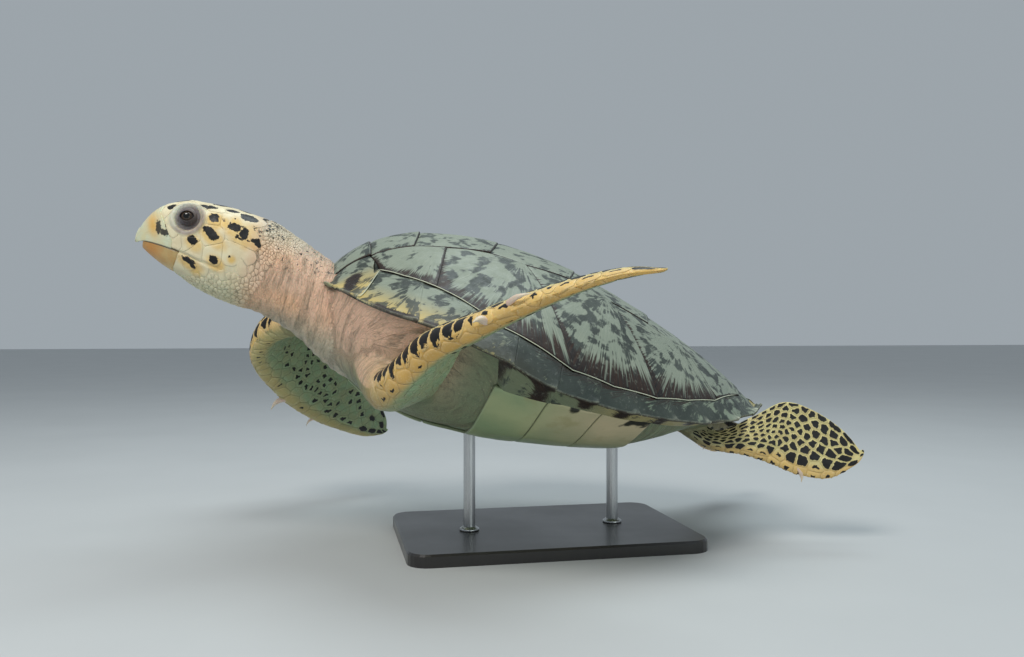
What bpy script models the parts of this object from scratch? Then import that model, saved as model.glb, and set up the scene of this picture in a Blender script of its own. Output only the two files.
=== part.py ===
"""Life-size model of a swimming hawksbill sea turtle on a plain display stand.

The turtle is modelled in its own frame: head to -Y, its left side to +X, back to +Z, with the
origin at the middle of the shell at rim height. SWIM then tips and banks it over the stand.
"""

import math

import bmesh
import bpy
import numpy as np
from mathutils import Matrix, Vector

for old in list(bpy.data.objects):
    bpy.data.objects.remove(old)

# Driving sizes, in metres
SHELL_LENGTH = 0.720
HALF_WIDTH = 0.2635
DOME_HEIGHT = 0.160
BELLY_DEPTH = 0.112
NUCHAL_RISE = 0.012
TAIL_RISE = 0.027
KEEL_HEIGHT = 0.004
SCUTE_THICK = 0.0030
PLASTRON_THICK = 0.0040
GAP = 0.0003
SERRATION = 0.0045

# Pose of the body over the stand
NOSE_UP = math.radians(15.7)
BANK = math.radians(9.3)
BODY_HEIGHT = 0.262

# Stand
BASE_LENGTH = 0.440
BASE_WIDTH = 0.300
BASE_THICK = 0.018
BASE_CORNER = 0.030
ROD_RADIUS = 0.009
ROD_PLACES = {"stand_rod_front": (0.012, -0.115), "stand_rod_rear": (0.000, 0.115)}

SWIM = (
    Matrix.Translation((0.0, 0.0, BODY_HEIGHT))
    @ Matrix.Rotation(-NOSE_UP, 4, "X")
    @ Matrix.Rotation(BANK, 4, "Y")
)


def material(name, colour, roughness, metallic=0.0):
    made = bpy.data.materials.new(name)
    made.use_nodes = True
    shader = made.node_tree.nodes["Principled BSDF"]
    shader.inputs["Base Color"].default_value = (*colour, 1.0)
    shader.inputs["Roughness"].default_value = roughness
    shader.inputs["Metallic"].default_value = metallic
    return made


def add_object(name, points, faces, colour, roughness, smooth=True, place=SWIM, metallic=0.0):
    """One named solid in its own material, set in place by the swim pose."""
    mesh = bpy.data.meshes.new(name)
    mesh.from_pydata([tuple(p) for p in points], [], [tuple(int(i) for i in f) for f in faces])
    mesh.update()
    work = bmesh.new()
    work.from_mesh(mesh)
    bmesh.ops.recalc_face_normals(work, faces=work.faces)
    work.to_mesh(mesh)
    work.free()
    for face in mesh.polygons:
        face.use_smooth = smooth
    mesh.materials.append(material(name + "_finish", colour, roughness, metallic))
    made = bpy.data.objects.new(name, mesh)
    bpy.context.scene.collection.objects.link(made)
    made.matrix_world = place
    return made


def as_helper(obj):
    """Marks an object that only cuts others."""
    obj.hide_render = True
    obj.display_type = "WIRE"
    return obj


def grown_copy(obj, by=GAP):
    """A cutter a little larger than the object, so that a piece cut by it stands just clear."""
    work = bmesh.new()
    work.from_mesh(obj.data)
    bmesh.ops.recalc_face_normals(work, faces=work.faces)
    work.normal_update()
    shifts = []
    for vert in work.verts:
        sharpest = min(vert.normal.dot(face.normal) for face in vert.link_faces)
        shifts.append(vert.normal * (by / max(sharpest, 0.25)))
    for vert, shift in zip(work.verts, shifts):
        vert.co += shift
    mesh = bpy.data.meshes.new(obj.name + "_grown")
    work.to_mesh(mesh)
    work.free()
    made = bpy.data.objects.new(obj.name + "_grown", mesh)
    bpy.context.scene.collection.objects.link(made)
    made.matrix_world = obj.matrix_world.copy()
    return as_helper(made)


def boolean(obj, cutter, operation="DIFFERENCE"):
    modifier = obj.modifiers.new(operation.title() + " " + cutter.name, "BOOLEAN")
    modifier.operation = operation
    modifier.solver = "EXACT"
    modifier.object = cutter


def curve_through(keys, count):
    """A smooth run of rows through the key rows, evenly spread in count steps."""
    keys = np.asarray(keys, float)
    last = len(keys) - 1
    rows = []
    for at in np.linspace(0.0, last, count):
        i = min(int(at), last - 1)
        t = at - i
        p1, p2 = keys[i], keys[i + 1]
        m1 = (keys[min(i + 1, last)] - keys[max(i - 1, 0)]) / 2
        m2 = (keys[min(i + 2, last)] - keys[i]) / 2
        h = (2 * t**3 - 3 * t**2 + 1, t**3 - 2 * t**2 + t, 3 * t**2 - 2 * t**3, t**3 - t**2)
        rows.append(h[0] * p1 + h[1] * m1 + h[2] * p2 + h[3] * m2)
    return np.array(rows)


def loft(rings):
    """Points and faces of a closed skin over rings of equal count, with flat ends."""
    count = len(rings[0])
    points = np.concatenate(rings)
    faces = []
    for r in range(len(rings) - 1):
        for i in range(count):
            j = (i + 1) % count
            faces.append((r * count + i, r * count + j, (r + 1) * count + j, (r + 1) * count + i))
    faces.append(tuple(range(count)))
    faces.append(tuple(len(points) - 1 - i for i in range(count)))
    return points, faces


# ---------------------------------------------------------------- shell form


def outline(u):
    """Half width of the shell, u from 0 at the nuchal rim to 1 at the rear tip."""
    return HALF_WIDTH * u**0.5 * (1 - u) ** 0.69 / 0.4453


def outline_at(x):
    """Where the front part of the outline is x wide."""
    low, high = 0.0, 0.40
    for _ in range(40):
        mid = (low + high) / 2
        low, high = (mid, high) if outline(mid) < x else (low, mid)
    return low


# Height of the rim along the side: it arches over the front flipper and lifts at the tail
RIM_LINE_U = (0.0, 0.13, 0.22, 0.34, 0.45, 0.58, 0.75, 0.88, 1.0)
RIM_LINE = (0.048, 0.045, 0.048, 0.035, 0.015, 0.010, 0.013, 0.026, 0.043)
# Depth of the plastron below the rim's middle, and how a cross section drops to it
BELLY_LINE_U = (0.0, 0.05, 0.10, 0.16, 0.25, 0.40, 0.57, 0.66, 0.72, 0.80, 0.90, 0.96, 1.0)
BELLY_LINE = (0.0, 0.45, 0.76, 0.93, 1.0, 0.94, 0.77, 0.66, 0.47, 0.20, -0.02, -0.18, -0.37)
BELLY_SHARE = (0.0, 0.30, 0.50, 0.62, 0.72, 0.86, 0.94, 1.0)
BELLY_SECTION = (1.0, 0.99, 0.93, 0.80, 0.60, 0.27, 0.11, 0.0)


def rim_height(u):
    return float(np.interp(u, RIM_LINE_U, RIM_LINE))


def crown(x, u, width):
    """Top of the shell."""
    share = min(1.0, abs(x) / max(width, 1e-6))
    base = NUCHAL_RISE * max(0.0, 1 - u / 0.4) ** 2 + TAIL_RISE * max(0.0, (u - 0.6) / 0.4) ** 2
    dome = DOME_HEIGHT * u**0.5 * (1 - u) ** 0.87 / 0.4065
    keel = KEEL_HEIGHT * max(0.0, 1 - abs(x) / 0.035) * min(1.0, 6 * u, 6 * (1 - u))
    flare = max(0.0, (share - 0.55) / 0.45) ** 2
    return base + dome * (1 - share**2.2) + keel + (rim_height(u) - base) * flare


def belly(x, u, width):
    """Underside of the body, from the plastron out to the rim."""
    share = min(1.0, abs(x) / max(width, 1e-6))
    bottom = -BELLY_DEPTH * np.interp(u, BELLY_LINE_U, BELLY_LINE)
    rim = rim_height(u)
    return rim + (bottom - rim) * np.interp(share, BELLY_SHARE, BELLY_SECTION)


# Seam lines across the shell, front to rear. Each row gives how far back it lies at the keel, at
# the edge of the vertebral scutes, at the edge of the costal scutes and at the rim, and the half
# widths of the first two lines as shares of shell length.
SEAMS = (
    ("front", 0.000, None, None, None, 0.070, 0.115, 0.150),
    ("nuchal", 0.072, 0.080, 0.106, 0.075, 0.090, 0.150, None),
    ("vertebral_1", 0.165, 0.155, 0.150, 0.135, 0.096, 0.184, None),
    ("costal_1", 0.225, 0.210, 0.196, 0.200, 0.104, 0.213, None),
    ("vertebral_2", 0.325, 0.300, 0.330, 0.325, 0.099, 0.298, None),
    ("costal_2", 0.400, 0.372, 0.474, 0.465, 0.114, 0.327, None),
    ("vertebral_3", 0.500, 0.470, 0.560, 0.560, 0.100, 0.318, None),
    ("costal_3", 0.590, 0.562, 0.656, 0.665, 0.106, 0.290, None),
    ("vertebral_4", 0.685, 0.660, 0.735, 0.745, 0.094, 0.246, None),
    ("costal_4", 0.775, 0.745, 0.815, 0.830, 0.100, 0.190, None),
    ("vertebral_5", 0.930, 0.925, 0.912, 0.925, 0.034, 0.082, None),
    ("tip", 1.000, None, None, None, 0.024, 0.045, 0.065),
)
SPLITS = {11: 1}
COLUMN_SPLITS = (2, 3, 2)


def tail_outline_at(x):
    """Where the tail end of the outline is x wide."""
    low, high = 0.90, 1.0
    for _ in range(40):
        mid = (low + high) / 2
        low, high = (mid, high) if outline(mid) > x else (low, mid)
    return low


def seam_row(seam):
    """Plan points (x, u) of the four lines where the seam crosses them."""
    _, u0, u1, u2, u3, x1, x2, x3 = seam
    xs = [0.0, x1 * SHELL_LENGTH, x2 * SHELL_LENGTH, 0.0]
    if u1 is None:
        edge = outline_at if u0 < 0.5 else tail_outline_at
        xs[3] = x3 * SHELL_LENGTH
        return [(0.0, u0)] + [(x, edge(x)) for x in xs[1:]]
    xs[3] = outline(u3)
    return list(zip(xs, (u0, u1, u2, u3)))


def plan_grid():
    """Rows of plan points from keel to rim, with the number of rows down to each seam."""
    rows = [seam_row(seam) for seam in SEAMS]
    grid, starts = [], []
    for k in range(len(rows)):
        starts.append(len(grid))
        steps = SPLITS.get(k + 1, 2) if k < len(rows) - 1 else 1
        for s in range(steps):
            t = s / steps
            lines = []
            for c in range(4):
                a = np.array(rows[k][c])
                b = np.array(rows[min(k + 1, len(rows) - 1)][c])
                lines.append(a + (b - a) * t)
            if 0 < k < len(rows) - 2 and s:
                lines[3][0] = outline(lines[3][1])
            row = []
            for c, splits in enumerate(COLUMN_SPLITS):
                for j in range(splits):
                    row.append(lines[c] + (lines[c + 1] - lines[c]) * (j / splits))
            row.append(lines[3])
            grid.append(row)
    return grid, starts


GRID, SEAM_AT = plan_grid()
ROWS = len(GRID)
HALF = len(GRID[0])
LINE = (0, 2, 5, 7)


def body_surface():
    """The whole outer surface of shell and belly as one closed net of quads."""
    points, index = [], {}

    def point_at(row, column, under):
        """column runs from -(HALF-1), the right rim, to HALF-1, the left rim."""
        side = -1 if column < 0 else 1
        x, u = GRID[row][abs(column)]
        on_edge = row in (0, ROWS - 1) or abs(column) == HALF - 1
        key = (row, column, under and not on_edge)
        if key not in index:
            width = outline(min(max(u, 1e-4), 1 - 1e-4))
            reach = 1.0
            if abs(column) == HALF - 1 and u > 0.5:
                reach = 1 + (SERRATION if row % 2 else -SERRATION) / max(x, 0.05)
            y = (u - 0.5) * SHELL_LENGTH
            if on_edge:
                z = rim_height(u)
            else:
                z = belly(x, u, width) if under else crown(x, u, width)
            index[key] = len(points)
            points.append((side * x * reach, y, z))
        return index[key]

    quads = {}
    for under in (False, True):
        for row in range(ROWS - 1):
            for column in range(-(HALF - 1), HALF - 1):
                a = point_at(row, column, under)
                b = point_at(row, column + 1, under)
                c = point_at(row + 1, column + 1, under)
                d = point_at(row + 1, column, under)
                quads[(row, column, under)] = (a, d, c, b) if under else (a, b, c, d)
    edge = {i for (row, column, _), i in index.items() if row in (0, ROWS - 1) or abs(column) == HALF - 1}
    for key, quad in quads.items():
        inside = [i for i in quad if i not in edge]
        if len(inside) == 1:
            turn = quad.index(inside[0])
            quads[key] = quad[turn:] + quad[:turn]
    return np.array(points), quads, index


SURFACE, QUADS, INDEX = body_surface()


def split(quads):
    """Each quad as two triangles, always along the same diagonal."""
    return [corner for a, b, c, d in quads for corner in ((a, b, c), (a, c, d))]


def surface_normals():
    """Mitred outward directions: a step of 1 along one moves every face beside the point by 1."""
    around = [[] for _ in SURFACE]
    for face in split(QUADS.values()):
        p = SURFACE[list(face)]
        normal = np.cross(p[1] - p[0], p[2] - p[0])
        for i in face:
            around[i].append(normal / np.linalg.norm(normal))
    mitres = []
    for faces in around:
        facing = np.array(faces)
        mitre = np.linalg.solve(facing.T @ facing + 0.01 * np.eye(3), facing.sum(axis=0))
        mitres.append(mitre * min(1.0, 3.2 / np.linalg.norm(mitre)))
    return np.array(mitres)


NORMALS = surface_normals()


def plate(name, keys, thick, colour, roughness):
    """A scute: a patch of the body's outer surface, thick all over, a hair inside its seams."""
    quads = [QUADS[key] for key in keys]
    used = sorted({i for quad in quads for i in quad})
    local = {g: i for i, g in enumerate(used)}
    quads = [tuple(local[i] for i in quad) for quad in quads]
    triangles = split(quads)
    top = SURFACE[used].copy()
    inward = -NORMALS[used]
    owner = {}
    for quad in quads:
        for i in range(4):
            owner[(quad[i], quad[(i + 1) % 4])] = quad
    rim = {edge: quad for edge, quad in owner.items() if (edge[1], edge[0]) not in owner}
    pulls = {}
    for (a, b), quad in rim.items():
        p = top[list(quad)]
        normal = np.cross(p[2] - p[0], p[3] - p[1])
        into = np.cross(normal, top[b] - top[a])
        into /= np.linalg.norm(into)
        pulls.setdefault(a, []).append(into)
        pulls.setdefault(b, []).append(into)
    moved = top.copy()
    for i, ways in pulls.items():
        total = sum(ways)
        lowest = min(float(total @ way) for way in ways)
        moved[i] = top[i] + total * (0.5 * GAP / max(lowest, 0.4))
    under = moved + inward * thick
    count = len(used)
    faces = list(triangles)
    faces += [tuple(count + i for i in reversed(triangle)) for triangle in triangles]
    faces += [(b, a, count + a, count + b) for a, b in rim]
    return add_object(name, np.concatenate([moved, under]), faces, colour, roughness)


def patch(first, last, low, high, sides=(-1, 1), under=False):
    """Keys of the quads from seam row first to last, and from line low to line high."""
    keys = []
    for row in range(SEAM_AT[first], SEAM_AT[last]):
        for column in range(LINE[low], LINE[high]):
            for side in sides:
                keys.append((row, column if side > 0 else -column - 1, under))
    return keys


SHELL_TINT = (0.23, 0.27, 0.22)
SKIN_TINT = (0.56, 0.42, 0.30)
BELLY_TINT = (0.72, 0.70, 0.42)
HORN_TINT = (0.66, 0.47, 0.22)

PLASTRON_KEYS = [
    (row, column, True)
    for row in range(SEAM_AT[1] + 1, SEAM_AT[9])
    for column in range(-4, 4)
]


def trunk_points():
    """The body under its plates, with its edge drawn back from the sharp rim."""
    depth = np.full(len(SURFACE), SCUTE_THICK + 3 * GAP)
    for key in PLASTRON_KEYS:
        depth[list(QUADS[key])] = PLASTRON_THICK + GAP
    points = SURFACE - NORMALS * depth[:, None]
    for (row, column, _), i in INDEX.items():
        if 0 < row < ROWS - 1 and abs(column) < HALF - 1:
            continue
        side = -1 if column < 0 else 1
        near_row = min(max(row, 1), ROWS - 2)
        near_column = side * min(abs(column), HALF - 2)
        above = SURFACE[INDEX[(near_row, near_column, False)]]
        below = SURFACE[INDEX[(near_row, near_column, True)]]
        middle = (above + below) / 2
        points[i] = middle + 0.05 * (SURFACE[i] - middle)
    return points


add_object("trunk", trunk_points(), split(QUADS.values()), SKIN_TINT, 0.7)

plate("scute_nuchal", patch(0, 1, 0, 1), SCUTE_THICK, SHELL_TINT, 0.45)
for number, (first, last) in enumerate(((1, 2), (2, 4), (4, 6), (6, 8)), start=1):
    keys = patch(first, last, 0, 1)
    plate(f"scute_vertebral_{number}", keys, SCUTE_THICK, SHELL_TINT, 0.45)
plate("scute_vertebral_5", patch(8, 10, 0, 1) + patch(9, 10, 1, 2), SCUTE_THICK, SHELL_TINT, 0.45)
for side, sign in (("left", 1), ("right", -1)):
    for number, (first, last) in enumerate(((1, 3), (3, 5), (5, 7), (7, 9)), start=1):
        keys = patch(first, last, 1, 2, (sign,))
        plate(f"scute_costal_{side}_{number}", keys, SCUTE_THICK, SHELL_TINT, 0.45)
    rim_keys = patch(0, 1, 1, 2, (sign,)) + patch(0, 11, 2, 3, (sign,)) + patch(10, 11, 0, 2, (sign,))
    rim_keys += patch(0, 11, 2, 3, (sign,), under=True)
    plate(f"marginal_rim_{side}", rim_keys, SCUTE_THICK, SHELL_TINT, 0.45)
plate("plastron", PLASTRON_KEYS, PLASTRON_THICK, BELLY_TINT, 0.5)

# ---------------------------------------------------------------- neck and head

# The whole body a hair larger: everything that grows out of it is cut by this
body_cutter = as_helper(
    add_object("body_cutter", SURFACE + NORMALS * GAP, split(QUADS.values()), SKIN_TINT, 0.7)
)


def oval(y, top, bottom, half_width, count, power=2.3, widest=0.5):
    """A ring across the body at y, between top and bottom, a little squarer than an ellipse."""
    ring = []
    middle = bottom + (top - bottom) * widest
    for i in range(count):
        turn = 2 * math.pi * (i + 0.5) / count
        c, s = math.cos(turn), math.sin(turn)
        x = half_width * math.copysign(abs(c) ** (2 / power), c)
        reach = top - middle if s > 0 else middle - bottom
        ring.append((x, y, middle + reach * math.copysign(abs(s) ** (2 / power), s)))
    return ring


# Each row: y, top, underside, half width
NECK_KEYS = (
    (-0.255, 0.040, -0.090, 0.105),
    (-0.290, 0.048, -0.088, 0.104),
    (-0.330, 0.060, -0.072, 0.092),
    (-0.370, 0.075, -0.050, 0.074),
    (-0.412, 0.090, -0.037, 0.061),
    (-0.440, 0.099, -0.031, 0.0535),
)
HEAD_KEYS = (
    (-0.4403, 0.0990, -0.0310, 0.0535),
    (-0.470, 0.1010, -0.0300, 0.0515),
    (-0.500, 0.1020, -0.0260, 0.0500),
    (-0.530, 0.1000, -0.0190, 0.0460),
    (-0.555, 0.0955, -0.0090, 0.0405),
    (-0.577, 0.0890, -0.0015, 0.0330),
    (-0.594, 0.0785, 0.0060, 0.0250),
    (-0.606, 0.0650, 0.0125, 0.0175),
    (-0.6145, 0.0490, 0.0185, 0.0100),
    (-0.6185, 0.0350, 0.0240, 0.0035),
)


def tube(keys, count, around):
    """A loft of count ovals through the key rows."""
    rows = curve_through(keys, count)
    return loft([oval(*row, around) for row in rows])


neck = add_object("neck", *tube(NECK_KEYS, 9, 20), SKIN_TINT, 0.7)
boolean(neck, body_cutter)


def side_prism(name, profile, half_width=0.08):
    """A block cut to a side-view profile of (y, z) points, right across the head."""
    count = len(profile)
    points = [(x, y, z) for x in (-half_width, half_width) for y, z in profile]
    faces = [tuple(range(count)), tuple(2 * count - 1 - i for i in range(count))]
    for i in range(count):
        j = (i + 1) % count
        faces.append((i, j, count + j, count + i))
    return as_helper(add_object(name, points, faces, HORN_TINT, 0.5))


# The line between the two halves of the bill, from the hooked tip back, as (y, z)
GAPE = ((-0.6095, 0.0248), (-0.580, 0.0272), (-0.562, 0.0264))
GAPE_CORNER = (-0.553, 0.0258)
UPPER_HORN = (
    (-0.660, 0.0205),
    *GAPE,
    (-0.566, 0.036),
    (-0.578, 0.052),
    (-0.592, 0.070),
    (-0.598, 0.110),
    (-0.660, 0.110),
)
LOWER_HORN = (
    (-0.6090, -0.020),
    *((y, z - GAP) for y, z in GAPE),
    (GAPE_CORNER[0], GAPE_CORNER[1] - GAP),
    (-0.560, -0.020),
)
# Everything of the head in front of its flesh
BILL_ROOM = (
    (-0.660, -0.020),
    (-0.660, 0.110),
    (-0.598 + 2 * GAP, 0.110),
    (-0.592 + 2 * GAP, 0.070),
    (-0.578 + 2 * GAP, 0.052),
    (-0.566 + 2 * GAP, 0.036),
    (GAPE[-1][0] + 2 * GAP, GAPE[-1][1] + GAP),
    (GAPE_CORNER[0] + 2 * GAP, GAPE_CORNER[1] + GAP),
    (-0.560 + 2 * GAP, -0.020),
)


def horn(name, profile, colour):
    """The part of the head's form inside a side-view profile."""
    made = add_object(name, *tube(HEAD_KEYS, 17, 24), colour, 0.42)
    boolean(made, side_prism(name + "_shape", profile), "INTERSECT")
    return made


horn("bill_upper", UPPER_HORN, HORN_TINT)
horn("bill_lower", LOWER_HORN, (0.62, 0.38, 0.16))
head = add_object("head", *tube(HEAD_KEYS, 17, 24), SKIN_TINT, 0.65)
boolean(head, side_prism("bill_room", BILL_ROOM))

EYE_RADIUS = 0.0130
EYE_AT = (0.0268, -0.5545, 0.0735)


def ball(name, centre, radius, across, up, colour, roughness):
    """A sphere of rings about an axis across the head."""
    rings = []
    for r in range(1, up):
        lift = math.pi * r / up
        ring_radius = radius * math.sin(lift)
        ring = []
        for i in range(across):
            turn = 2 * math.pi * i / across
            offset = (
                -radius * math.cos(lift),
                ring_radius * math.cos(turn),
                ring_radius * math.sin(turn),
            )
            ring.append(tuple(c + o for c, o in zip(centre, offset)))
        rings.append(ring)
    return add_object(name, *loft(rings), colour, roughness)


for side, sign in (("left", 1), ("right", -1)):
    centre = (sign * EYE_AT[0], EYE_AT[1], EYE_AT[2])
    ball("eye_" + side, centre, EYE_RADIUS, 14, 8, (0.03, 0.025, 0.02), 0.1)
    socket = ball("socket_" + side, centre, EYE_RADIUS + 2 * GAP, 14, 8, SKIN_TINT, 0.6)
    boolean(head, as_helper(socket))

# ---------------------------------------------------------------- flippers

# Half thickness of a flipper along its chord, from leading to trailing edge
CHORD_SHARE = (0.0, 0.05, 0.18, 0.40, 0.66, 0.86, 1.0)
THICK_SHARE = (0.0, 0.55, 0.95, 1.0, 0.66, 0.36, 0.16)
THINNEST = 0.0006


def flipper(name, keys, sign, stations):
    """A blade: each key row holds its leading edge, chord direction, chord and half thickness."""
    rows = curve_through(keys, stations)
    ways = np.gradient(rows[:, :3], axis=0)
    rings = []
    for row, way in zip(rows, ways):
        chord_way = row[3:6] / np.linalg.norm(row[3:6])
        across = np.cross(way, chord_way)
        across /= np.linalg.norm(across)
        upper, lower = [], []
        for share, thick in zip(CHORD_SHARE, THICK_SHARE):
            middle = row[:3] + chord_way * (row[6] * share)
            lift = across * max(row[7] * thick, THINNEST if share else 0.0)
            upper.append(middle + lift)
            lower.append(middle - lift)
        rings.append(np.array(upper + lower[:0:-1]) * (sign, 1, 1))
    return add_object(name, *loft(rings), SKIN_TINT, 0.6)


RAISED_ARM = (
    (0.080, -0.285, -0.020, 0.10, 0.95, -0.05, 0.090, 0.024),
    (0.125, -0.284, -0.045, 0.00, 0.95, 0.05, 0.100, 0.031),
    (0.178, -0.270, -0.058, -0.20, 0.92, 0.15, 0.102, 0.032),
    (0.225, -0.258, -0.050, -0.45, 0.86, 0.05, 0.090, 0.028),
    (0.265, -0.243, -0.016, -0.36, 0.92, 0.12, 0.072, 0.024),
    (0.300, -0.222, 0.024, -0.66, 0.70, 0.26, 0.080, 0.020),
    (0.333, -0.184, 0.064, -0.78, 0.58, 0.24, 0.100, 0.016),
    (0.364, -0.143, 0.105, -0.84, 0.505, 0.20, 0.106, 0.0125),
    (0.393, -0.098, 0.146, -0.84, 0.505, 0.20, 0.091, 0.0085),
    (0.412, -0.052, 0.178, -0.83, 0.52, 0.20, 0.058, 0.0055),
    (0.420, -0.014, 0.195, -0.80, 0.56, 0.20, 0.016, 0.0030),
)
LOWERED_ARM = (
    (0.080, -0.285, -0.020, 0.10, 0.95, -0.05, 0.090, 0.024),
    (0.122, -0.318, -0.045, 0.15, 0.95, 0.10, 0.104, 0.031),
    (0.168, -0.362, -0.060, 0.25, 0.88, 0.25, 0.110, 0.031),
    (0.203, -0.410, -0.082, 0.24, 0.76, 0.52, 0.114, 0.028),
    (0.226, -0.440, -0.122, 0.20, 0.60, 0.76, 0.122, 0.025),
    (0.255, -0.432, -0.172, 0.16, 0.54, 0.82, 0.125, 0.021),
    (0.292, -0.368, -0.226, 0.18, 0.54, 0.82, 0.125, 0.0175),
    (0.326, -0.308, -0.255, 0.20, 0.54, 0.82, 0.112, 0.0125),
    (0.360, -0.248, -0.271, 0.20, 0.54, 0.82, 0.088, 0.0085),
    (0.388, -0.202, -0.278, 0.20, 0.54, 0.82, 0.055, 0.0055),
    (0.402, -0.172, -0.271, 0.20, 0.54, 0.82, 0.016, 0.0030),
)
REAR_FIN = (
    (0.055, 0.190, -0.014, -0.15, 0.20, 0.97, 0.028, 0.012),
    (0.078, 0.226, -0.030, -0.18, 0.15, 0.97, 0.036, 0.016),
    (0.101, 0.264, -0.035, -0.20, 0.10, 0.97, 0.030, 0.014),
    (0.119, 0.306, -0.027, -0.20, 0.05, 0.97, 0.060, 0.011),
    (0.126, 0.348, -0.0275, -0.20, 0.00, 0.97, 0.094, 0.0085),
    (0.137, 0.392, -0.031, -0.20, 0.00, 0.97, 0.099, 0.0065),
    (0.149, 0.435, -0.022, -0.20, 0.02, 0.97, 0.076, 0.0050),
    (0.157, 0.463, 0.008, -0.20, 0.10, 0.97, 0.024, 0.0030),
)
LOWERED_FIN = (
    (0.055, 0.190, -0.014, -0.15, 0.20, 0.97, 0.028, 0.012),
    (0.078, 0.226, -0.034, -0.18, 0.15, 0.97, 0.036, 0.016),
    (0.104, 0.262, -0.048, -0.45, 0.10, 0.88, 0.032, 0.014),
    (0.128, 0.300, -0.058, -0.60, 0.05, 0.80, 0.058, 0.011),
    (0.150, 0.338, -0.070, -0.65, 0.00, 0.76, 0.090, 0.0085),
    (0.172, 0.378, -0.084, -0.65, 0.00, 0.76, 0.096, 0.0065),
    (0.194, 0.418, -0.088, -0.65, 0.02, 0.76, 0.074, 0.0050),
    (0.206, 0.446, -0.070, -0.60, 0.10, 0.76, 0.024, 0.0030),
)
neck_cutter = grown_copy(neck, GAP)

flippers = {}
for name, keys, sign, stations in (
    ("front_flipper_left", RAISED_ARM, 1, 19),
    ("front_flipper_right", LOWERED_ARM, -1, 19),
    ("rear_flipper_left", REAR_FIN, 1, 13),
    ("rear_flipper_right", LOWERED_FIN, -1, 13),
):
    made = flipper(name, keys, sign, stations)
    flippers[name] = made
    if name.startswith("front"):
        boolean(made, neck_cutter)
    boolean(made, body_cutter)

# ---------------------------------------------------------------- claws and tail


def spike(name, root, tip, radius, around, colour, roughness, bend=0.0):
    """A tapered cone from root to tip that droops by bend at its middle."""
    root, tip = Vector(root), Vector(tip)
    way = (tip - root).normalized()
    side = way.orthogonal().normalized()
    other = way.cross(side)
    rings = []
    for share, size in ((0.0, 1.0), (0.35, 0.86), (0.7, 0.52), (1.0, 0.10)):
        centre = root.lerp(tip, share) - Vector((0, 0, bend * math.sin(math.pi * share)))
        ring = []
        for i in range(around):
            turn = 2 * math.pi * i / around
            ring.append(centre + (side * math.cos(turn) + other * math.sin(turn)) * radius * size)
        rings.append([tuple(p) for p in ring])
    return add_object(name, *loft(rings), colour, roughness)


CLAW_TINT = (0.78, 0.66, 0.55)
# Each claw: its place, its root, its tip and its radius at the root
CLAWS = (
    ("front_left", 1, (0.342, -0.163, 0.080), (0.358, -0.181, 0.079), 0.0062),
    ("front_left", 2, (0.358, -0.146, 0.113), (0.374, -0.130, 0.130), 0.0038),
    ("front_right", 1, (-0.290, -0.364, -0.222), (-0.294, -0.385, -0.249), 0.0062),
    ("front_right", 2, (-0.326, -0.303, -0.252), (-0.330, -0.316, -0.272), 0.0038),
    ("rear_left", 0, (0.137, 0.390, -0.026), (0.143, 0.398, -0.040), 0.0042),
    ("rear_right", 0, (-0.173, 0.376, -0.079), (-0.185, 0.386, -0.091), 0.0042),
)
for place, number, root, tip, radius in CLAWS:
    name = f"claw_{place}_{number}" if number else f"claw_{place}"
    claw = spike(name, root, tip, radius, 8, CLAW_TINT, 0.4)
    boolean(claw, grown_copy(flippers[place.replace("_", "_flipper_")], GAP))

tail = spike("tail", (0, 0.265, -0.012), (0, 0.352, -0.002), 0.017, 12, SKIN_TINT, 0.7, bend=0.004)
boolean(tail, body_cutter)

# ---------------------------------------------------------------- stand

UPRIGHT = Matrix.Identity(4)
STAND_TINT = (0.05, 0.05, 0.055)


def rounded_base():
    """A flat block with round corners and a small chamfer along its top edge."""

    def ring(inset, z):
        points = []
        for corner in range(4):
            sx = 1 if corner in (0, 3) else -1
            sy = 1 if corner in (0, 1) else -1
            cx = sx * (BASE_WIDTH / 2 - BASE_CORNER)
            cy = sy * (BASE_LENGTH / 2 - BASE_CORNER)
            for step in range(7):
                turn = math.pi / 2 * (corner + step / 6)
                reach = BASE_CORNER - inset
                points.append((cx + reach * math.cos(turn), cy + reach * math.sin(turn), z))
        return points

    return loft([ring(0.0, 0.0), ring(0.0, BASE_THICK - 0.003), ring(0.003, BASE_THICK)])


add_object("stand_base", *rounded_base(), STAND_TINT, 0.4, smooth=False, place=UPRIGHT)


def upright_rod(x, y, low, high, around=20):
    """A round bar from low to high."""
    turns = [2 * math.pi * i / around for i in range(around)]
    circle = [(x + ROD_RADIUS * math.cos(turn), y + ROD_RADIUS * math.sin(turn)) for turn in turns]
    return loft([[(px, py, z) for px, py in circle] for z in (low, high)])


for name, (x, y) in ROD_PLACES.items():
    low = BASE_THICK + GAP
    form = upright_rod(x, y, low, BODY_HEIGHT - 0.075)
    rod = add_object(name, *form, (0.6, 0.6, 0.6), 0.3, place=UPRIGHT, metallic=1.0)
    boolean(rod, body_cutter)
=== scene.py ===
"""Looks of the life-size hawksbill sea turtle on its display stand.

Every piece is made in the turtle's own frame (head to -Y, its left side to +X, back to +Z) and
then set over the stand by SWIM, so that a finished piece lies where its solid does.
"""

import math

import bmesh
import bpy
import numpy as np
from mathutils import Matrix, Vector, kdtree


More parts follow.
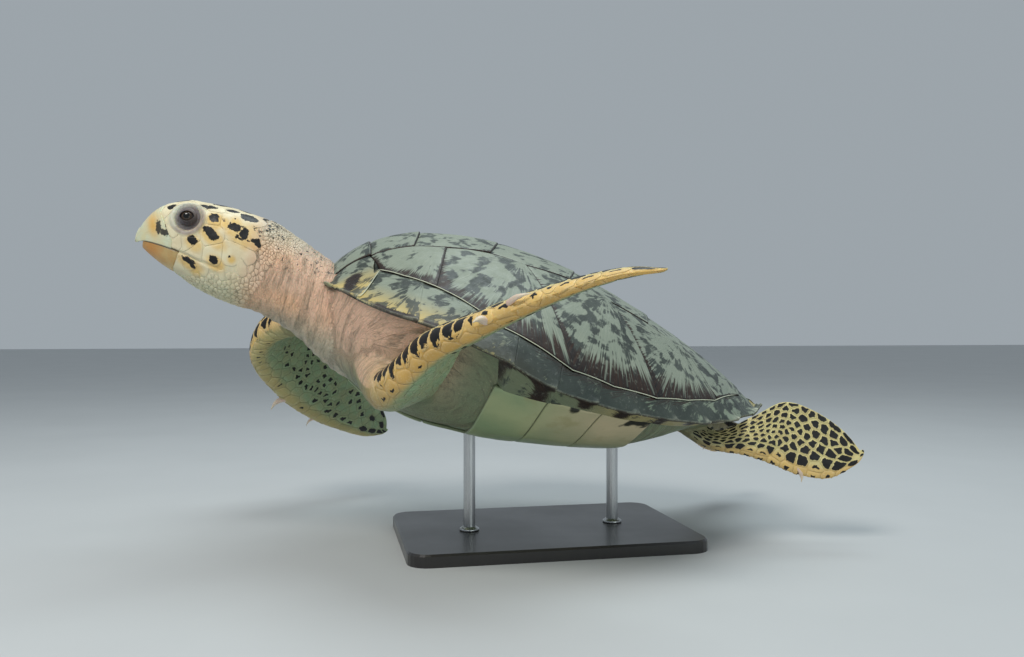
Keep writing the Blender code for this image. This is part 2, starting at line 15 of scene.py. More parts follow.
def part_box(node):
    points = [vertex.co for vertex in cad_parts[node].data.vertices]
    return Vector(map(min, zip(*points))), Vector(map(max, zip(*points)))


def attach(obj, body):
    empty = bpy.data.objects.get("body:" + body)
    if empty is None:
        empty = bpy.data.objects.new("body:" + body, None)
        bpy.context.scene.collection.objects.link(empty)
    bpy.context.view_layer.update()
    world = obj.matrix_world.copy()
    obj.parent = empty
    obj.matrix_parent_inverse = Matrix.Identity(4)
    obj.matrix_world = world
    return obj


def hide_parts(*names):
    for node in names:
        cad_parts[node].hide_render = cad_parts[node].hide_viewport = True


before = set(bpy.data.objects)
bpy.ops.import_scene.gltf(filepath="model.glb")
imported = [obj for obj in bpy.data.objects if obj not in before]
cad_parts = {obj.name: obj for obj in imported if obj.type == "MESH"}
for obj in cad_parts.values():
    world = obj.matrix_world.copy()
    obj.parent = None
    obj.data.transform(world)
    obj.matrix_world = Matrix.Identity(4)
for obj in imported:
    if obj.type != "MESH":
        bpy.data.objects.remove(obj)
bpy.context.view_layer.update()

bpy.ops.object.select_all(action="DESELECT")


# ---------------------------------------------------------------- sizes, in metres

SHELL_LENGTH = 0.720
HALF_WIDTH = 0.2635
DOME_HEIGHT = 0.160
BELLY_DEPTH = 0.112
NUCHAL_RISE = 0.012
TAIL_RISE = 0.027
KEEL_HEIGHT = 0.004
NOSE_UP = math.radians(15.7)
BANK = math.radians(9.3)
BODY_HEIGHT = 0.262

SWIM = (
    Matrix.Translation((0.0, 0.0, BODY_HEIGHT))
    @ Matrix.Rotation(-NOSE_UP, 4, "X")
    @ Matrix.Rotation(BANK, 4, "Y")
)
TURN = np.array(SWIM.to_3x3())
SHIFT = np.array(SWIM.translation)


def to_world(points):
    return np.asarray(points, float) @ TURN.T + SHIFT


# ---------------------------------------------------------------- small helpers


def smooth_step(low, high, value):
    t = np.clip((np.asarray(value, float) - low) / (high - low), 0, 1)
    return t * t * (3 - 2 * t)


def unit(ways):
    return ways / np.maximum(np.linalg.norm(ways, axis=-1, keepdims=True), 1e-12)


def blend(start, end, share):
    """From start towards end by a share."""
    return start + (np.asarray(end, float) - start) * share


def bell(away, width):
    """1 at nothing away, and falling off softly over the width."""
    return np.exp(-((away / width) ** 2))


def turns_round(count):
    """Even turns round a circle, and their headings."""
    turns = 2 * np.pi * np.arange(count) / count
    return turns, np.stack([np.cos(turns), np.sin(turns)], axis=-1)


def lattice_noise(points, size, seed):
    """Smooth random values from -1 to 1 at the points, with features of the given size."""
    p = np.asarray(points, float) / size
    cell = np.floor(p).astype(np.int64)
    t = p - cell
    t = t * t * (3 - 2 * t)
    total = 0.0
    for corner in np.ndindex(*(2,) * p.shape[-1]):
        key = np.full(p.shape[:-1], seed * 7919, np.int64)
        weight = 1.0
        for axis, step in enumerate(corner):
            key = (key * 73856093) ^ ((cell[..., axis] + step) * (19349663, 83492791, 50331653)[axis])
            weight = weight * (t[..., axis] if step else 1 - t[..., axis])
        key = (key ^ (key >> 13)) * 1274126177
        total = total + weight * (((key ^ (key >> 16)) & 0xFFFF) / 32767.5 - 1)
    return total


def new_mesh(name, points, faces, finish, colours=None, floats=None, maps=None, smooth=True):
    """A mesh in the world's frame, with colours and numbers on its points and maps on its corners."""
    mesh = bpy.data.meshes.new(name)
    mesh.from_pydata(np.asarray(points, np.float32).tolist(), [], [tuple(map(int, f)) for f in faces])
    mesh.update()
    for key, values in (colours or {}).items():
        values = np.asarray(values, np.float32)
        layer = mesh.color_attributes.new(key, "FLOAT_COLOR", "POINT")
        rgba = np.ones((len(values), 4), np.float32)
        rgba[:, :3] = values
        layer.data.foreach_set("color", rgba.ravel())
    for key, values in (floats or {}).items():
        layer = mesh.attributes.new(key, "FLOAT", "POINT")
        layer.data.foreach_set("value", np.asarray(values, np.float32).ravel())
    if maps:
        corner = np.empty(len(mesh.loops), np.int32)
        mesh.loops.foreach_get("vertex_index", corner)
        for key, values in maps.items():
            layer = mesh.uv_layers.new(name=key)
            values = np.asarray(values, np.float32)
            values = values if len(values) == len(corner) else values[corner]
            layer.data.foreach_set("uv", values.ravel())
    if smooth:
        mesh.polygons.foreach_set("use_smooth", [True] * len(mesh.polygons))
    mesh.materials.append(finish)
    made = bpy.data.objects.new(name, mesh)
    bpy.context.scene.collection.objects.link(made)
    return made


def face_out(obj):
    """Turns the faces of a closed mesh outward."""
    work = bmesh.new()
    work.from_mesh(obj.data)
    bmesh.ops.recalc_face_normals(work, faces=work.faces)
    work.to_mesh(obj.data)
    work.free()


def only(obj):
    bpy.ops.object.select_all(action="DESELECT")
    obj.select_set(True)
    bpy.context.view_layer.objects.active = obj


def apply_modifiers(obj):
    only(obj)
    for modifier in list(obj.modifiers):
        bpy.ops.object.modifier_apply(modifier=modifier.name)


def finished(obj, slot, *nodes):
    """Hangs a piece on the model's root and hides the nodes that it stands for. The slot is not used."""
    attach(obj, "root")
    if nodes:
        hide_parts(*nodes)


def add_piece(name, slot, nodes, points, faces, finish, **looks):
    """A closed piece made of points in the turtle's frame, which stands for the nodes."""
    made = new_mesh(name, to_world(np.asarray(points).reshape(-1, 3)), faces, finish, **looks)
    face_out(made)
    finished(made, slot, *nodes)


def shifted_faces(parts):
    """The faces of several meshes, each given as its points and faces, numbered as one mesh."""
    faces, start = [], 0
    for points, part in parts:
        faces += [tuple(int(i) + start for i in face) for face in part]
        start += len(points)
    return faces


def curve_through(keys, at):
    """Smooth rows through the key rows at the given places, counted in keys."""
    keys = np.asarray(keys, float)
    last = len(keys) - 1
    i = np.minimum(np.asarray(at).astype(int), last - 1)
    t = (np.asarray(at) - i)[:, None]
    m1 = (keys[np.minimum(i + 1, last)] - keys[np.maximum(i - 1, 0)]) / 2
    m2 = (keys[np.minimum(i + 2, last)] - keys[i]) / 2
    cube, square = t**3, t**2
    return (
        (2 * cube - 3 * square + 1) * keys[i]
        + (cube - 2 * square + t) * m1
        + (3 * square - 2 * cube) * keys[i + 1]
        + (cube - square) * m2
    )


def grid_faces(rows, columns, closed=False):
    """Quads over a grid of points, row by row. A closed grid joins its last column to its first."""
    r, c = np.meshgrid(np.arange(rows - 1), np.arange(columns if closed else columns - 1), indexing="ij")
    a = (r * columns + c).ravel()
    b = (r * columns + (c + 1) % columns).ravel()
    return np.stack([a, b, b + columns, a + columns], axis=1)


def tube_faces(rows, columns):
    """Faces of a closed tube over a grid of points, with a flat cap at each end."""
    faces = [tuple(f) for f in grid_faces(rows, columns, closed=True)]
    faces.append(tuple(reversed(range(columns))))
    faces.append(tuple(range((rows - 1) * columns, rows * columns)))
    return faces


def sheet_faces(rows, columns):
    """Faces of two grids of points, one over the other, joined round their edges."""
    count = rows * columns
    faces = [tuple(f) for f in grid_faces(rows, columns)]
    faces += [tuple(i + count for i in reversed(f)) for f in faces]
    ring = list(range(columns)) + [r * columns + columns - 1 for r in range(1, rows)]
    ring += list(range(count - 2, count - columns - 1, -1)) + [r * columns for r in range(rows - 2, 0, -1)]
    return faces + [(b, a, a + count, b + count) for a, b in zip(ring, ring[1:] + ring[:1])]


class Surface:
    """A grid of points that coat pieces are laid on, read between its points."""

    def __init__(self, grid, closed):
        self.grid = grid
        self.closed = closed
        down = np.gradient(grid, axis=0)
        if closed:
            across = (np.roll(grid, -1, axis=1) - np.roll(grid, 1, axis=1)) / 2
        else:
            across = np.gradient(grid, axis=1)
        self.normals = unit(np.cross(down, across))

    def read(self, field, row, column):
        rows, columns = field.shape[:2]
        row = np.clip(row, 0, rows - 1.001)
        column = column % columns if self.closed else np.clip(column, 0, columns - 1.001)
        i, j = row.astype(int), column.astype(int)
        s, t = (row - i)[..., None], (column - j)[..., None]
        k = (j + 1) % columns
        i = np.minimum(i, rows - 2)
        j = j % columns
        return (
            field[i, j] * (1 - s) * (1 - t)
            + field[i + 1, j] * s * (1 - t)
            + field[i, k] * (1 - s) * t
            + field[i + 1, k] * s * t
        )

    def at(self, row, column, height):
        place = self.read(self.grid, row, column)
        return place + unit(self.read(self.normals, row, column)) * height[..., None]


# ---------------------------------------------------------------- finishes


class Finish:
    """A material built from nodes: each method adds nodes and returns their output."""

    def __init__(self, name, roughness, coat=0.0, coat_roughness=0.1, subsurface=0.0, gloss=0.5):
        self.material = bpy.data.materials.new(name)
        self.material.use_nodes = True
        self.tree = self.material.node_tree
        self.shader = self.tree.nodes["Principled BSDF"]
        self.set("Roughness", roughness)
        self.set("Specular IOR Level", gloss)
        self.set("Coat Weight", coat)
        self.set("Coat Roughness", coat_roughness)
        self.set("Subsurface Weight", subsurface)
        self.set("Subsurface Scale", 0.004)
        self.place = self.node("TexCoord").outputs["Object"]

    def set(self, key, number):
        self.shader.inputs[key].default_value = number

    def link(self, value, socket):
        if isinstance(value, bpy.types.NodeSocket):
            self.tree.links.new(value, socket)
        elif socket.type == "RGBA":
            socket.default_value = (*value, 1)
        else:
            socket.default_value = value

    def node(self, kind, sockets=(), **settings):
        """A new node with its settings, and with values or links for its sockets."""
        made = self.tree.nodes.new("ShaderNode" + kind)
        for key, value in settings.items():
            setattr(made, key, value)
        for key, value in dict(sockets).items():
            self.link(value, made.inputs[key])
        return made

    def attribute(self, name, kind="Fac"):
        return self.node("Attribute", attribute_name=name).outputs[kind]

    def uv(self, name):
        return self.node("UVMap", uv_map=name).outputs["UV"]

    def mapped(self, vector, scale):
        return self.node("Mapping", {"Vector": vector, "Scale": scale}).outputs["Vector"]

    def noise(self, vector, scale, detail=4.0, rough=0.55, distortion=0.0):
        sockets = {"Vector": vector, "Scale": scale, "Detail": detail, "Roughness": rough}
        return self.node("TexNoise", {**sockets, "Distortion": distortion}).outputs["Fac"]

    def cells(self, vector, scale):
        """How far a place is from the borders of a net of cells."""
        node = self.node("TexVoronoi", {"Vector": vector, "Scale": scale}, feature="DISTANCE_TO_EDGE")
        return node.outputs["Distance"]

    def maths(self, operation, a, b=0.0, clamp=False):
        return self.node("Math", {0: a, 1: b}, operation=operation, use_clamp=clamp).outputs[0]

    def plus(self, a, b):
        return self.maths("ADD", a, b)

    def times(self, a, b):
        return self.maths("MULTIPLY", a, b)

    def swing(self, value, size):
        """A value about one half as a swing to both sides of nothing."""
        return self.times(self.maths("SUBTRACT", value, 0.5), size)

    def ramp(self, value, low, high, start=0.0, end=1.0):
        """The value carried from low..high to start..end with soft ends."""
        sockets = {"Value": value, "From Min": low, "From Max": high, "To Min": start, "To Max": end}
        return self.node("MapRange", sockets, interpolation_type="SMOOTHSTEP").outputs["Result"]

    def mix(self, share, a, b):
        """Colour a, with a share of colour b laid over it."""
        node = self.node("Mix", data_type="RGBA")
        for value, socket in zip((share, a, b), [s for s in node.inputs if s.enabled]):
            self.link(value, socket)
        return next(s for s in node.outputs if s.enabled)

    def combine(self, x, y, z):
        return self.node("CombineXYZ", {0: x, 1: y, 2: z}).outputs[0]

    def split(self, vector):
        return self.node("SeparateXYZ", {0: vector}).outputs

    def bump(self, height, distance, strength, under=None):
        sockets = {"Height": height, "Distance": distance, "Strength": strength}
        if under is not None:
            sockets["Normal"] = under
        return self.node("Bump", sockets).outputs["Normal"]

    def done(self, colour, roughness=None, normal=None):
        for key, value in (("Base Color", colour), ("Roughness", roughness), ("Normal", normal)):
            if value is not None:
                self.link(value, self.shader.inputs[key])
        return self.material


def shell_finish():
    """Polished tortoiseshell: slate blotches that turn to streaks towards each plate's free edges, and dark
    green painted shade on the marginal plates.
    """
    f = Finish("tortoiseshell", roughness=0.42, coat=0.10, coat_roughness=0.30, gloss=0.32)
    angle, reach, _ = f.split(f.uv("growth"))
    number = f.attribute("plate_number")
    depth = f.attribute("margin")
    dapple = f.attribute("dapple")
    rays = f.combine(f.times(angle, 10.0), f.times(reach, 4.2), number)
    fine = f.combine(f.times(angle, 62.0), f.times(reach, 2.6), number)
    hair = f.combine(f.times(angle, 190.0), f.times(reach, 3.5), number)
    spots = f.noise(f.place, 46.0, detail=2.5, rough=0.5, distortion=0.35)
    blotch = f.noise(rays, 1.0, detail=3.0, rough=0.5, distortion=0.5)
    streak = f.noise(fine, 1.0, detail=2.0)
    line = f.noise(hair, 1.0, detail=1.0)
    cloud = f.noise(f.place, 14.0, detail=5.0)
    level = f.plus(f.times(spots, 0.62), f.times(blotch, 0.38))
    combed = f.ramp(depth, 0.0, 0.8, 0.10, 0.55)
    level = f.plus(level, f.swing(streak, combed))
    level = f.plus(level, f.swing(line, 0.10))
    level = f.plus(level, f.swing(dapple, 0.34))
    dark = f.ramp(level, 0.490, 0.550)
    deep = f.ramp(f.plus(depth, f.swing(streak, 1.1)), 0.45, 0.74)
    pale = f.mix(cloud, (0.165, 0.205, 0.165), (0.300, 0.335, 0.260))
    pale = f.mix(f.ramp(line, 0.45, 0.7, 0.0, 0.5), pale, (0.34, 0.37, 0.29))
    amber = f.attribute("amber")
    pale = f.mix(amber, pale, f.mix(cloud, (0.46, 0.34, 0.09), (0.60, 0.46, 0.17)))
    # Painted shade: a dark green laid over the flanks and undersides of the marginal plates
    pale = f.mix(f.attribute("shade"), pale, f.mix(cloud, (0.085, 0.145, 0.105), (0.170, 0.210, 0.120)))
    slate = f.mix(f.ramp(cloud, 0.35, 0.65), (0.014, 0.020, 0.020), (0.042, 0.054, 0.048))
    ink = f.mix(f.ramp(streak, 0.3, 0.7), (0.008, 0.008, 0.008), (0.036, 0.018, 0.011))
    colour = f.mix(f.times(dark, 0.90), pale, slate)
    colour = f.mix(deep, colour, ink)
    speckle = f.ramp(f.noise(f.place, 160.0, detail=2.0), 0.60, 0.70)
    colour = f.mix(f.times(speckle, 0.22), colour, (0.30, 0.33, 0.26))
    worn = f.attribute("worn")
    scuff = f.ramp(f.noise(f.place, 90.0, detail=5.0), 0.42, 0.60)
    colour = f.mix(f.times(worn, f.ramp(scuff, 0.0, 1.0, 0.35, 1.0)), colour, (0.58, 0.60, 0.47))
    rings = f.maths("SINE", f.plus(f.times(reach, 46.0), f.times(cloud, 9.0)))
    relief = f.plus(f.times(rings, 0.12), f.times(line, 0.50))
    relief = f.plus(relief, f.times(f.noise(f.place, 55.0, detail=6.0), 0.9))
    normal = f.bump(relief, 0.0010, 0.55)
    rough = f.plus(f.ramp(scuff, 0.0, 1.0, 0.38, 0.54), f.times(worn, 0.18))
    return f.done(colour, rough, normal)


def plastron_finish():
    f = Finish("plastron_horn", roughness=0.42, coat=0.1, coat_roughness=0.25, gloss=0.35)
    cloud = f.noise(f.place, 9.0, detail=5.0)
    # Painted shade: the plastron's green ground; its own sandy colour shows only where the sand mask lies
    base = f.mix(f.ramp(cloud, 0.3, 0.7), (0.25, 0.34, 0.19), (0.40, 0.45, 0.24))
    base = f.mix(f.times(f.attribute("sand"), f.ramp(cloud, 0.2, 0.6, 0.6, 1.0)), base, (0.62, 0.52, 0.33))
    base = f.mix(f.ramp(f.noise(f.place, 28.0, detail=4.0), 0.55, 0.75, 0.0, 0.6), base, (0.36, 0.33, 0.16))
    blot = f.attribute("blot")
    ragged = f.plus(blot, f.swing(f.noise(f.place, 60.0, 4.0), 0.012))
    base = f.mix(f.ramp(ragged, -0.0010, 0.0022), base, (0.030, 0.032, 0.024))
    seam = f.attribute("margin")
    base = f.mix(f.ramp(seam, 0.60, 1.0, 0.0, 0.70), base, (0.14, 0.16, 0.09))
    wrinkle = f.noise(f.mapped(f.place, (70, 25, 70)), 1.0, detail=4.0)
    scratch = f.noise(f.mapped(f.place, (300, 18, 300)), 1.0, detail=2.0)
    normal = f.bump(f.plus(wrinkle, f.times(scratch, 0.4)), 0.0009, 0.5)
    return f.done(base, f.ramp(scratch, 0.3, 0.7, 0.30, 0.46), normal)


# ---------------------------------------------------------------- shell form


def outline(u):
    """Half width of the shell, u from 0 at the nuchal rim to 1 at the rear tip."""
    u = np.clip(u, 1e-4, 1 - 1e-4)
    return HALF_WIDTH * u**0.5 * (1 - u) ** 0.69 / 0.4453


RIM_LINE_U = (0.0, 0.13, 0.22, 0.34, 0.45, 0.58, 0.75, 0.88, 1.0)
RIM_LINE = (0.048, 0.045, 0.048, 0.035, 0.015, 0.010, 0.013, 0.026, 0.043)
BELLY_LINE_U = (0.0, 0.05, 0.10, 0.16, 0.25, 0.40, 0.57, 0.66, 0.72, 0.80, 0.90, 0.96, 1.0)
BELLY_LINE = (0.0, 0.45, 0.76, 0.93, 1.0, 0.94, 0.77, 0.66, 0.47, 0.20, -0.02, -0.18, -0.37)
BELLY_SHARE = (0.0, 0.30, 0.50, 0.62, 0.72, 0.86, 0.94, 1.0)
BELLY_SECTION = (1.0, 0.99, 0.93, 0.80, 0.60, 0.27, 0.11, 0.0)


def smooth_table(at, knots, values):
    """A table read with its corners rounded."""
    spread = (np.arange(9) - 4) * 0.011
    weights = bell(spread, 0.025)
    reads = [w * np.interp(at + s, knots, values) for s, w in zip(spread, weights)]
    return sum(reads) / weights.sum()


def rim_height(u):
    return smooth_table(u, RIM_LINE_U, RIM_LINE)


def crown(x, u):
    """Top of the shell."""
    share = np.minimum(1.0, np.abs(x) / outline(u))
    base = NUCHAL_RISE * np.maximum(0, 1 - u / 0.4) ** 2 + TAIL_RISE * np.maximum(0, (u - 0.6) / 0.4) ** 2
    dome = DOME_HEIGHT * np.clip(u, 0, 1) ** 0.5 * (1 - np.clip(u, 0, 1)) ** 0.87 / 0.4065
    keel = KEEL_HEIGHT * np.maximum(0, 1 - np.abs(x) / 0.035)
    keel = keel * np.clip(np.minimum(6 * u, 6 * (1 - u)), 0, 1)
    flare = np.maximum(0.0, (share - 0.55) / 0.45) ** 2
    return base + dome * (1 - share**2.2) + keel + (rim_height(u) - base) * flare


def belly(x, u):
    """Underside of the body, from the plastron out to the rim."""
    share = np.minimum(1.0, np.abs(x) / outline(u))
    bottom = -BELLY_DEPTH * smooth_table(u, BELLY_LINE_U, BELLY_LINE)
    rim = rim_height(u)
    return rim + (bottom - rim) * smooth_table(share, BELLY_SHARE, BELLY_SECTION)


# Seam lines across the shell, front to rear: how far back each lies at the keel, at the edge of
# the vertebral plates, at the edge of the costal plates and at the rim, then the half widths of
# the first two lines as shares of shell length.
SEAMS = (
    (0.000, None, None, None, 0.070, 0.115, 0.150),
    (0.072, 0.080, 0.106, 0.075, 0.090, 0.150, None),
    (0.165, 0.155, 0.150, 0.135, 0.096, 0.184, None),
    (0.225, 0.210, 0.196, 0.200, 0.104, 0.213, None),
    (0.325, 0.300, 0.330, 0.325, 0.099, 0.298, None),
    (0.400, 0.372, 0.474, 0.465, 0.114, 0.327, None),
    (0.500, 0.470, 0.560, 0.560, 0.100, 0.318, None),
    (0.590, 0.562, 0.656, 0.665, 0.106, 0.290, None),
    (0.685, 0.660, 0.735, 0.745, 0.094, 0.246, None),
    (0.775, 0.745, 0.815, 0.830, 0.100, 0.190, None),
    (0.930, 0.925, 0.912, 0.925, 0.034, 0.082, None),
    (1.000, None, None, None, 0.024, 0.045, 0.065),
)


def rim_place(x, low, high):
    """Where the outline is x wide, between low and high, over which it widens or narrows."""
    at = np.linspace(low, high, 400)
    widths = outline(at)
    if widths[-1] < widths[0]:
        return float(np.interp(-x, -widths, at))
    return float(np.interp(x, widths, at))


def seam_points():
    """Plan points (x, u) of the four lines at every seam."""
    rows = []
    for u0, u1, u2, u3, x1, x2, x3 in SEAMS:
        xs = [0.0, x1 * SHELL_LENGTH, x2 * SHELL_LENGTH]
        if u1 is None:
            xs.append(x3 * SHELL_LENGTH)
            low, high = (0.0001, 0.4) if u0 < 0.5 else (0.9, 0.9999)
            rows.append([(x, u0 if x == 0 else rim_place(x, low, high)) for x in xs])
        else:
            xs.append(float(outline(u3)))
            rows.append(list(zip(xs, (u0, u1, u2, u3))))
    return np.array(rows)


SEAM_POINTS = seam_points()


def plan(seam, line):
    """Plan points at places counted in seams from the front and in lines from the keel."""
    seam, line = np.broadcast_arrays(np.asarray(seam, float), np.asarray(line, float))
    side = np.where(line < 0, -1.0, 1.0)
    line = np.abs(line)
    i = np.clip(seam.astype(int), 0, len(SEAMS) - 2)
    j = np.clip(line.astype(int), 0, 2)
    s, t = (seam - i)[..., None], (line - j)[..., None]
    p = SEAM_POINTS
    at = p[i, j] * (1 - s) * (1 - t) + p[i + 1, j] * s * (1 - t)
    at = at + p[i, j + 1] * (1 - s) * t + p[i + 1, j + 1] * s * t
    x, u = at[..., 0], np.clip(at[..., 1], 0.0, 1.0)
    # The rim keeps to the outline between seams
    rim_x = outline(u)
    pull = np.clip(line - 2, 0, 1) ** 2
    x = np.where((seam >= 1) & (seam <= 10), x + pull * (rim_x - x), x)
    return side * np.minimum(x, rim_x), u


def shell_top(seam, line):
    x, u = plan(seam, line)
    return np.stack([x, (u - 0.5) * SHELL_LENGTH, crown(x, u)], axis=-1)


def shell_under(seam, line):
    x, u = plan(seam, line)
    return np.stack([x, (u - 0.5) * SHELL_LENGTH, belly(x, u)], axis=-1)


def facing(grid, way):
    """Unit normals of a grid of points, turned to the side of the given direction."""
    normals = unit(np.cross(np.gradient(grid, axis=0), np.gradient(grid, axis=1)))
    flip = np.sign((normals * np.asarray(way, float)).sum(axis=-1, keepdims=True))
    return normals * np.where(flip == 0, 1, flip)


def edge_steps(count, fine=0.006, power=1.35):
    """Steps from 0 to 1, close together at both ends so that an edge can be rounded."""
    t = np.linspace(-1, 1, count - 4)
    middle = 0.5 + 0.5 * np.sign(t) * (1 - (1 - np.abs(t)) ** power)
    middle = fine * 3.5 + middle * (1 - fine * 7)
    return np.concatenate([[0, fine], middle, [1 - fine, 1]])


def slab(top, normals, height, thick):
    """Points and faces of a closed plate: the top raised by height, the back thick below it."""
    upper = top + normals * height[..., None]
    lower = top + normals * (height - thick)[..., None]
    return np.concatenate([upper.reshape(-1, 3), lower.reshape(-1, 3)]), sheet_faces(*top.shape[:2])


def twice(values):
    """Values of a plate's top, repeated for its back."""
    flat = np.asarray(values, float)
    flat = flat.reshape(-1, flat.shape[-1]) if flat.ndim == 3 else flat.ravel()
    return np.concatenate([flat, flat])


def streaks_from(corner, top, squeeze):
    """The turn of each point round the corner its plate grew from, and its share of the farthest reach."""
    away = top - corner
    reach = np.linalg.norm(away, axis=-1)
    angle = np.arctan2(away[..., 1], np.abs(away[..., 0]) + squeeze * reach + 1e-6)
    return np.stack([angle, reach / reach.max()], axis=-1)


TORTOISESHELL = shell_finish()
PLASTRON_HORN = plastron_finish()

PLATE_THICK = 0.0026
PLATE_LIFT = 0.0009
ROUND_DEPTH = 0.0015
REAR_LIFT = 0.0020
OVERLAP = 0.0045
EDGE_ROUND = 0.0016


def dome_plate(name, seams, lines, growth, number, node, dapple=0.44, deep=0.8, steps=64, fan=None):
    """One plate of the dome, which lies on the next one behind it like a roof tile.

    growth is the (seam, line) corner that its streaks run out from. fan, if given, is the seam
    behind which the plate is twice as many lines wide.
    """
    span = np.linalg.norm(shell_top(seams[1], np.mean(lines)) - shell_top(seams[0], np.mean(lines)))
    rear = 1 + OVERLAP / span
    t = edge_steps(steps)
    rows, columns = np.meshgrid(t * rear, t, indexing="ij")
    seam = seams[0] + (seams[1] - seams[0]) * rows
    line = lines[0] + (lines[1] - lines[0]) * columns
    if fan is not None:
        line = line * (1 + smooth_step(fan - 0.03, fan + 0.12, seam))
    top = shell_top(seam, line)
    wave = lattice_noise(top, 0.035, number) * 0.0005 + lattice_noise(top, 0.011, number + 50) * 0.00018
    length = np.linalg.norm(np.diff(top, axis=0), axis=-1).sum(axis=0).mean()
    width = np.linalg.norm(np.diff(top, axis=1), axis=-1).sum(axis=1).mean()
    back = rows / rear
    beside = np.minimum(columns, 1 - columns) * width
    near = np.minimum(beside, np.minimum(rows, rear - rows) * length / rear)
    lift = REAR_LIFT * back**2.2 + PLATE_LIFT
    round_off = ROUND_DEPTH * (1 - smooth_step(0.0, EDGE_ROUND, near))
    tuck = 0.0016 * (1 - smooth_step(0.0, 0.010, rows * length / rear))
    points, faces = slab(top, facing(top, (0, 0, 1)), lift + wave - round_off - tuck, PLATE_THICK)
    costal = abs(lines[1]) > 1
    outer = smooth_step(0.55, 1.0, columns if abs(lines[1]) > abs(lines[0]) else 1 - columns)
    front = smooth_step(0.15, 0.03, rows) if costal else smooth_step(0.10, 0.02, rows) * 0.5
    margin = np.clip(deep * outer + 0.75 * front * smooth_step(-0.3, 0.4, columns), 0, 1)
    margin = np.maximum(margin, 1.3 * smooth_step(0.0030, 0.0008, near))
    floats = {key: np.zeros(len(points)) for key in ("amber", "worn", "shade")}
    floats["plate_number"] = np.full(len(points), number * 3.7)
    floats["dapple"] = np.full(len(points), dapple)
    floats["margin"] = twice(margin)
    grown = twice(streaks_from(shell_top(*growth), top, 0.35))
    made = new_mesh(name, to_world(points), faces, TORTOISESHELL, floats=floats, maps={"growth": grown})
    finished(made, "scutes", node)


def make_dome():
    looks = {"dapple": 0.42, "deep": 0.2, "steps": 44}
    dome_plate("nuchal_plate", (0, 1), (-1, 1), (1.0, 0.02), 1, "scute_nuchal", **looks)
    for number, seams in enumerate(((1, 2), (2, 4), (4, 6), (6, 8), (8, 10)), start=1):
        name, node = f"vertebral_plate_{number}", f"scute_vertebral_{number}"
        fan = 9 if number == 5 else None
        dome_plate(name, seams, (-1, 1), (seams[1] - 0.02, 0.01), 10 + number, node, deep=0.25, fan=fan)
    for side, sign in (("left", 1), ("right", -1)):
        for number, seams in enumerate(((1, 3), (3, 5), (5, 7), (7, 9)), start=1):
            name, node = f"costal_plate_{side}_{number}", f"scute_costal_{side}_{number}"
            growth = (seams[1] - 0.10, sign * 1.02)
            seed = 20 + number + (10 if sign < 0 else 0)
            dapple = (0.30, 0.44, 0.56, 0.44)[number - 1]
            dome_plate(name, seams, (sign * 1, sign * 2), growth, seed, node, dapple=dapple)


make_dome()

# Where the marginal plates part along the rim, and the points along and across each of them
MARGINALS = (0.0, 0.075, 0.185, 0.275, 0.36, 0.445, 0.53, 0.615, 0.70, 0.78, 0.86, 0.935, 1.0)
MARGINAL_GRID = (40, 26)
RIM_ROUND = 0.0022
REARWARD = np.array((0.0, 1.0, 0.0))
UPWARD = np.array((0.0, 0.0, 1.0))


def seam_at_rim(u):
    """Where along the seams the rim passes u."""
    return np.interp(u, SEAM_POINTS[:, 3, 1], np.arange(len(SEAMS)))


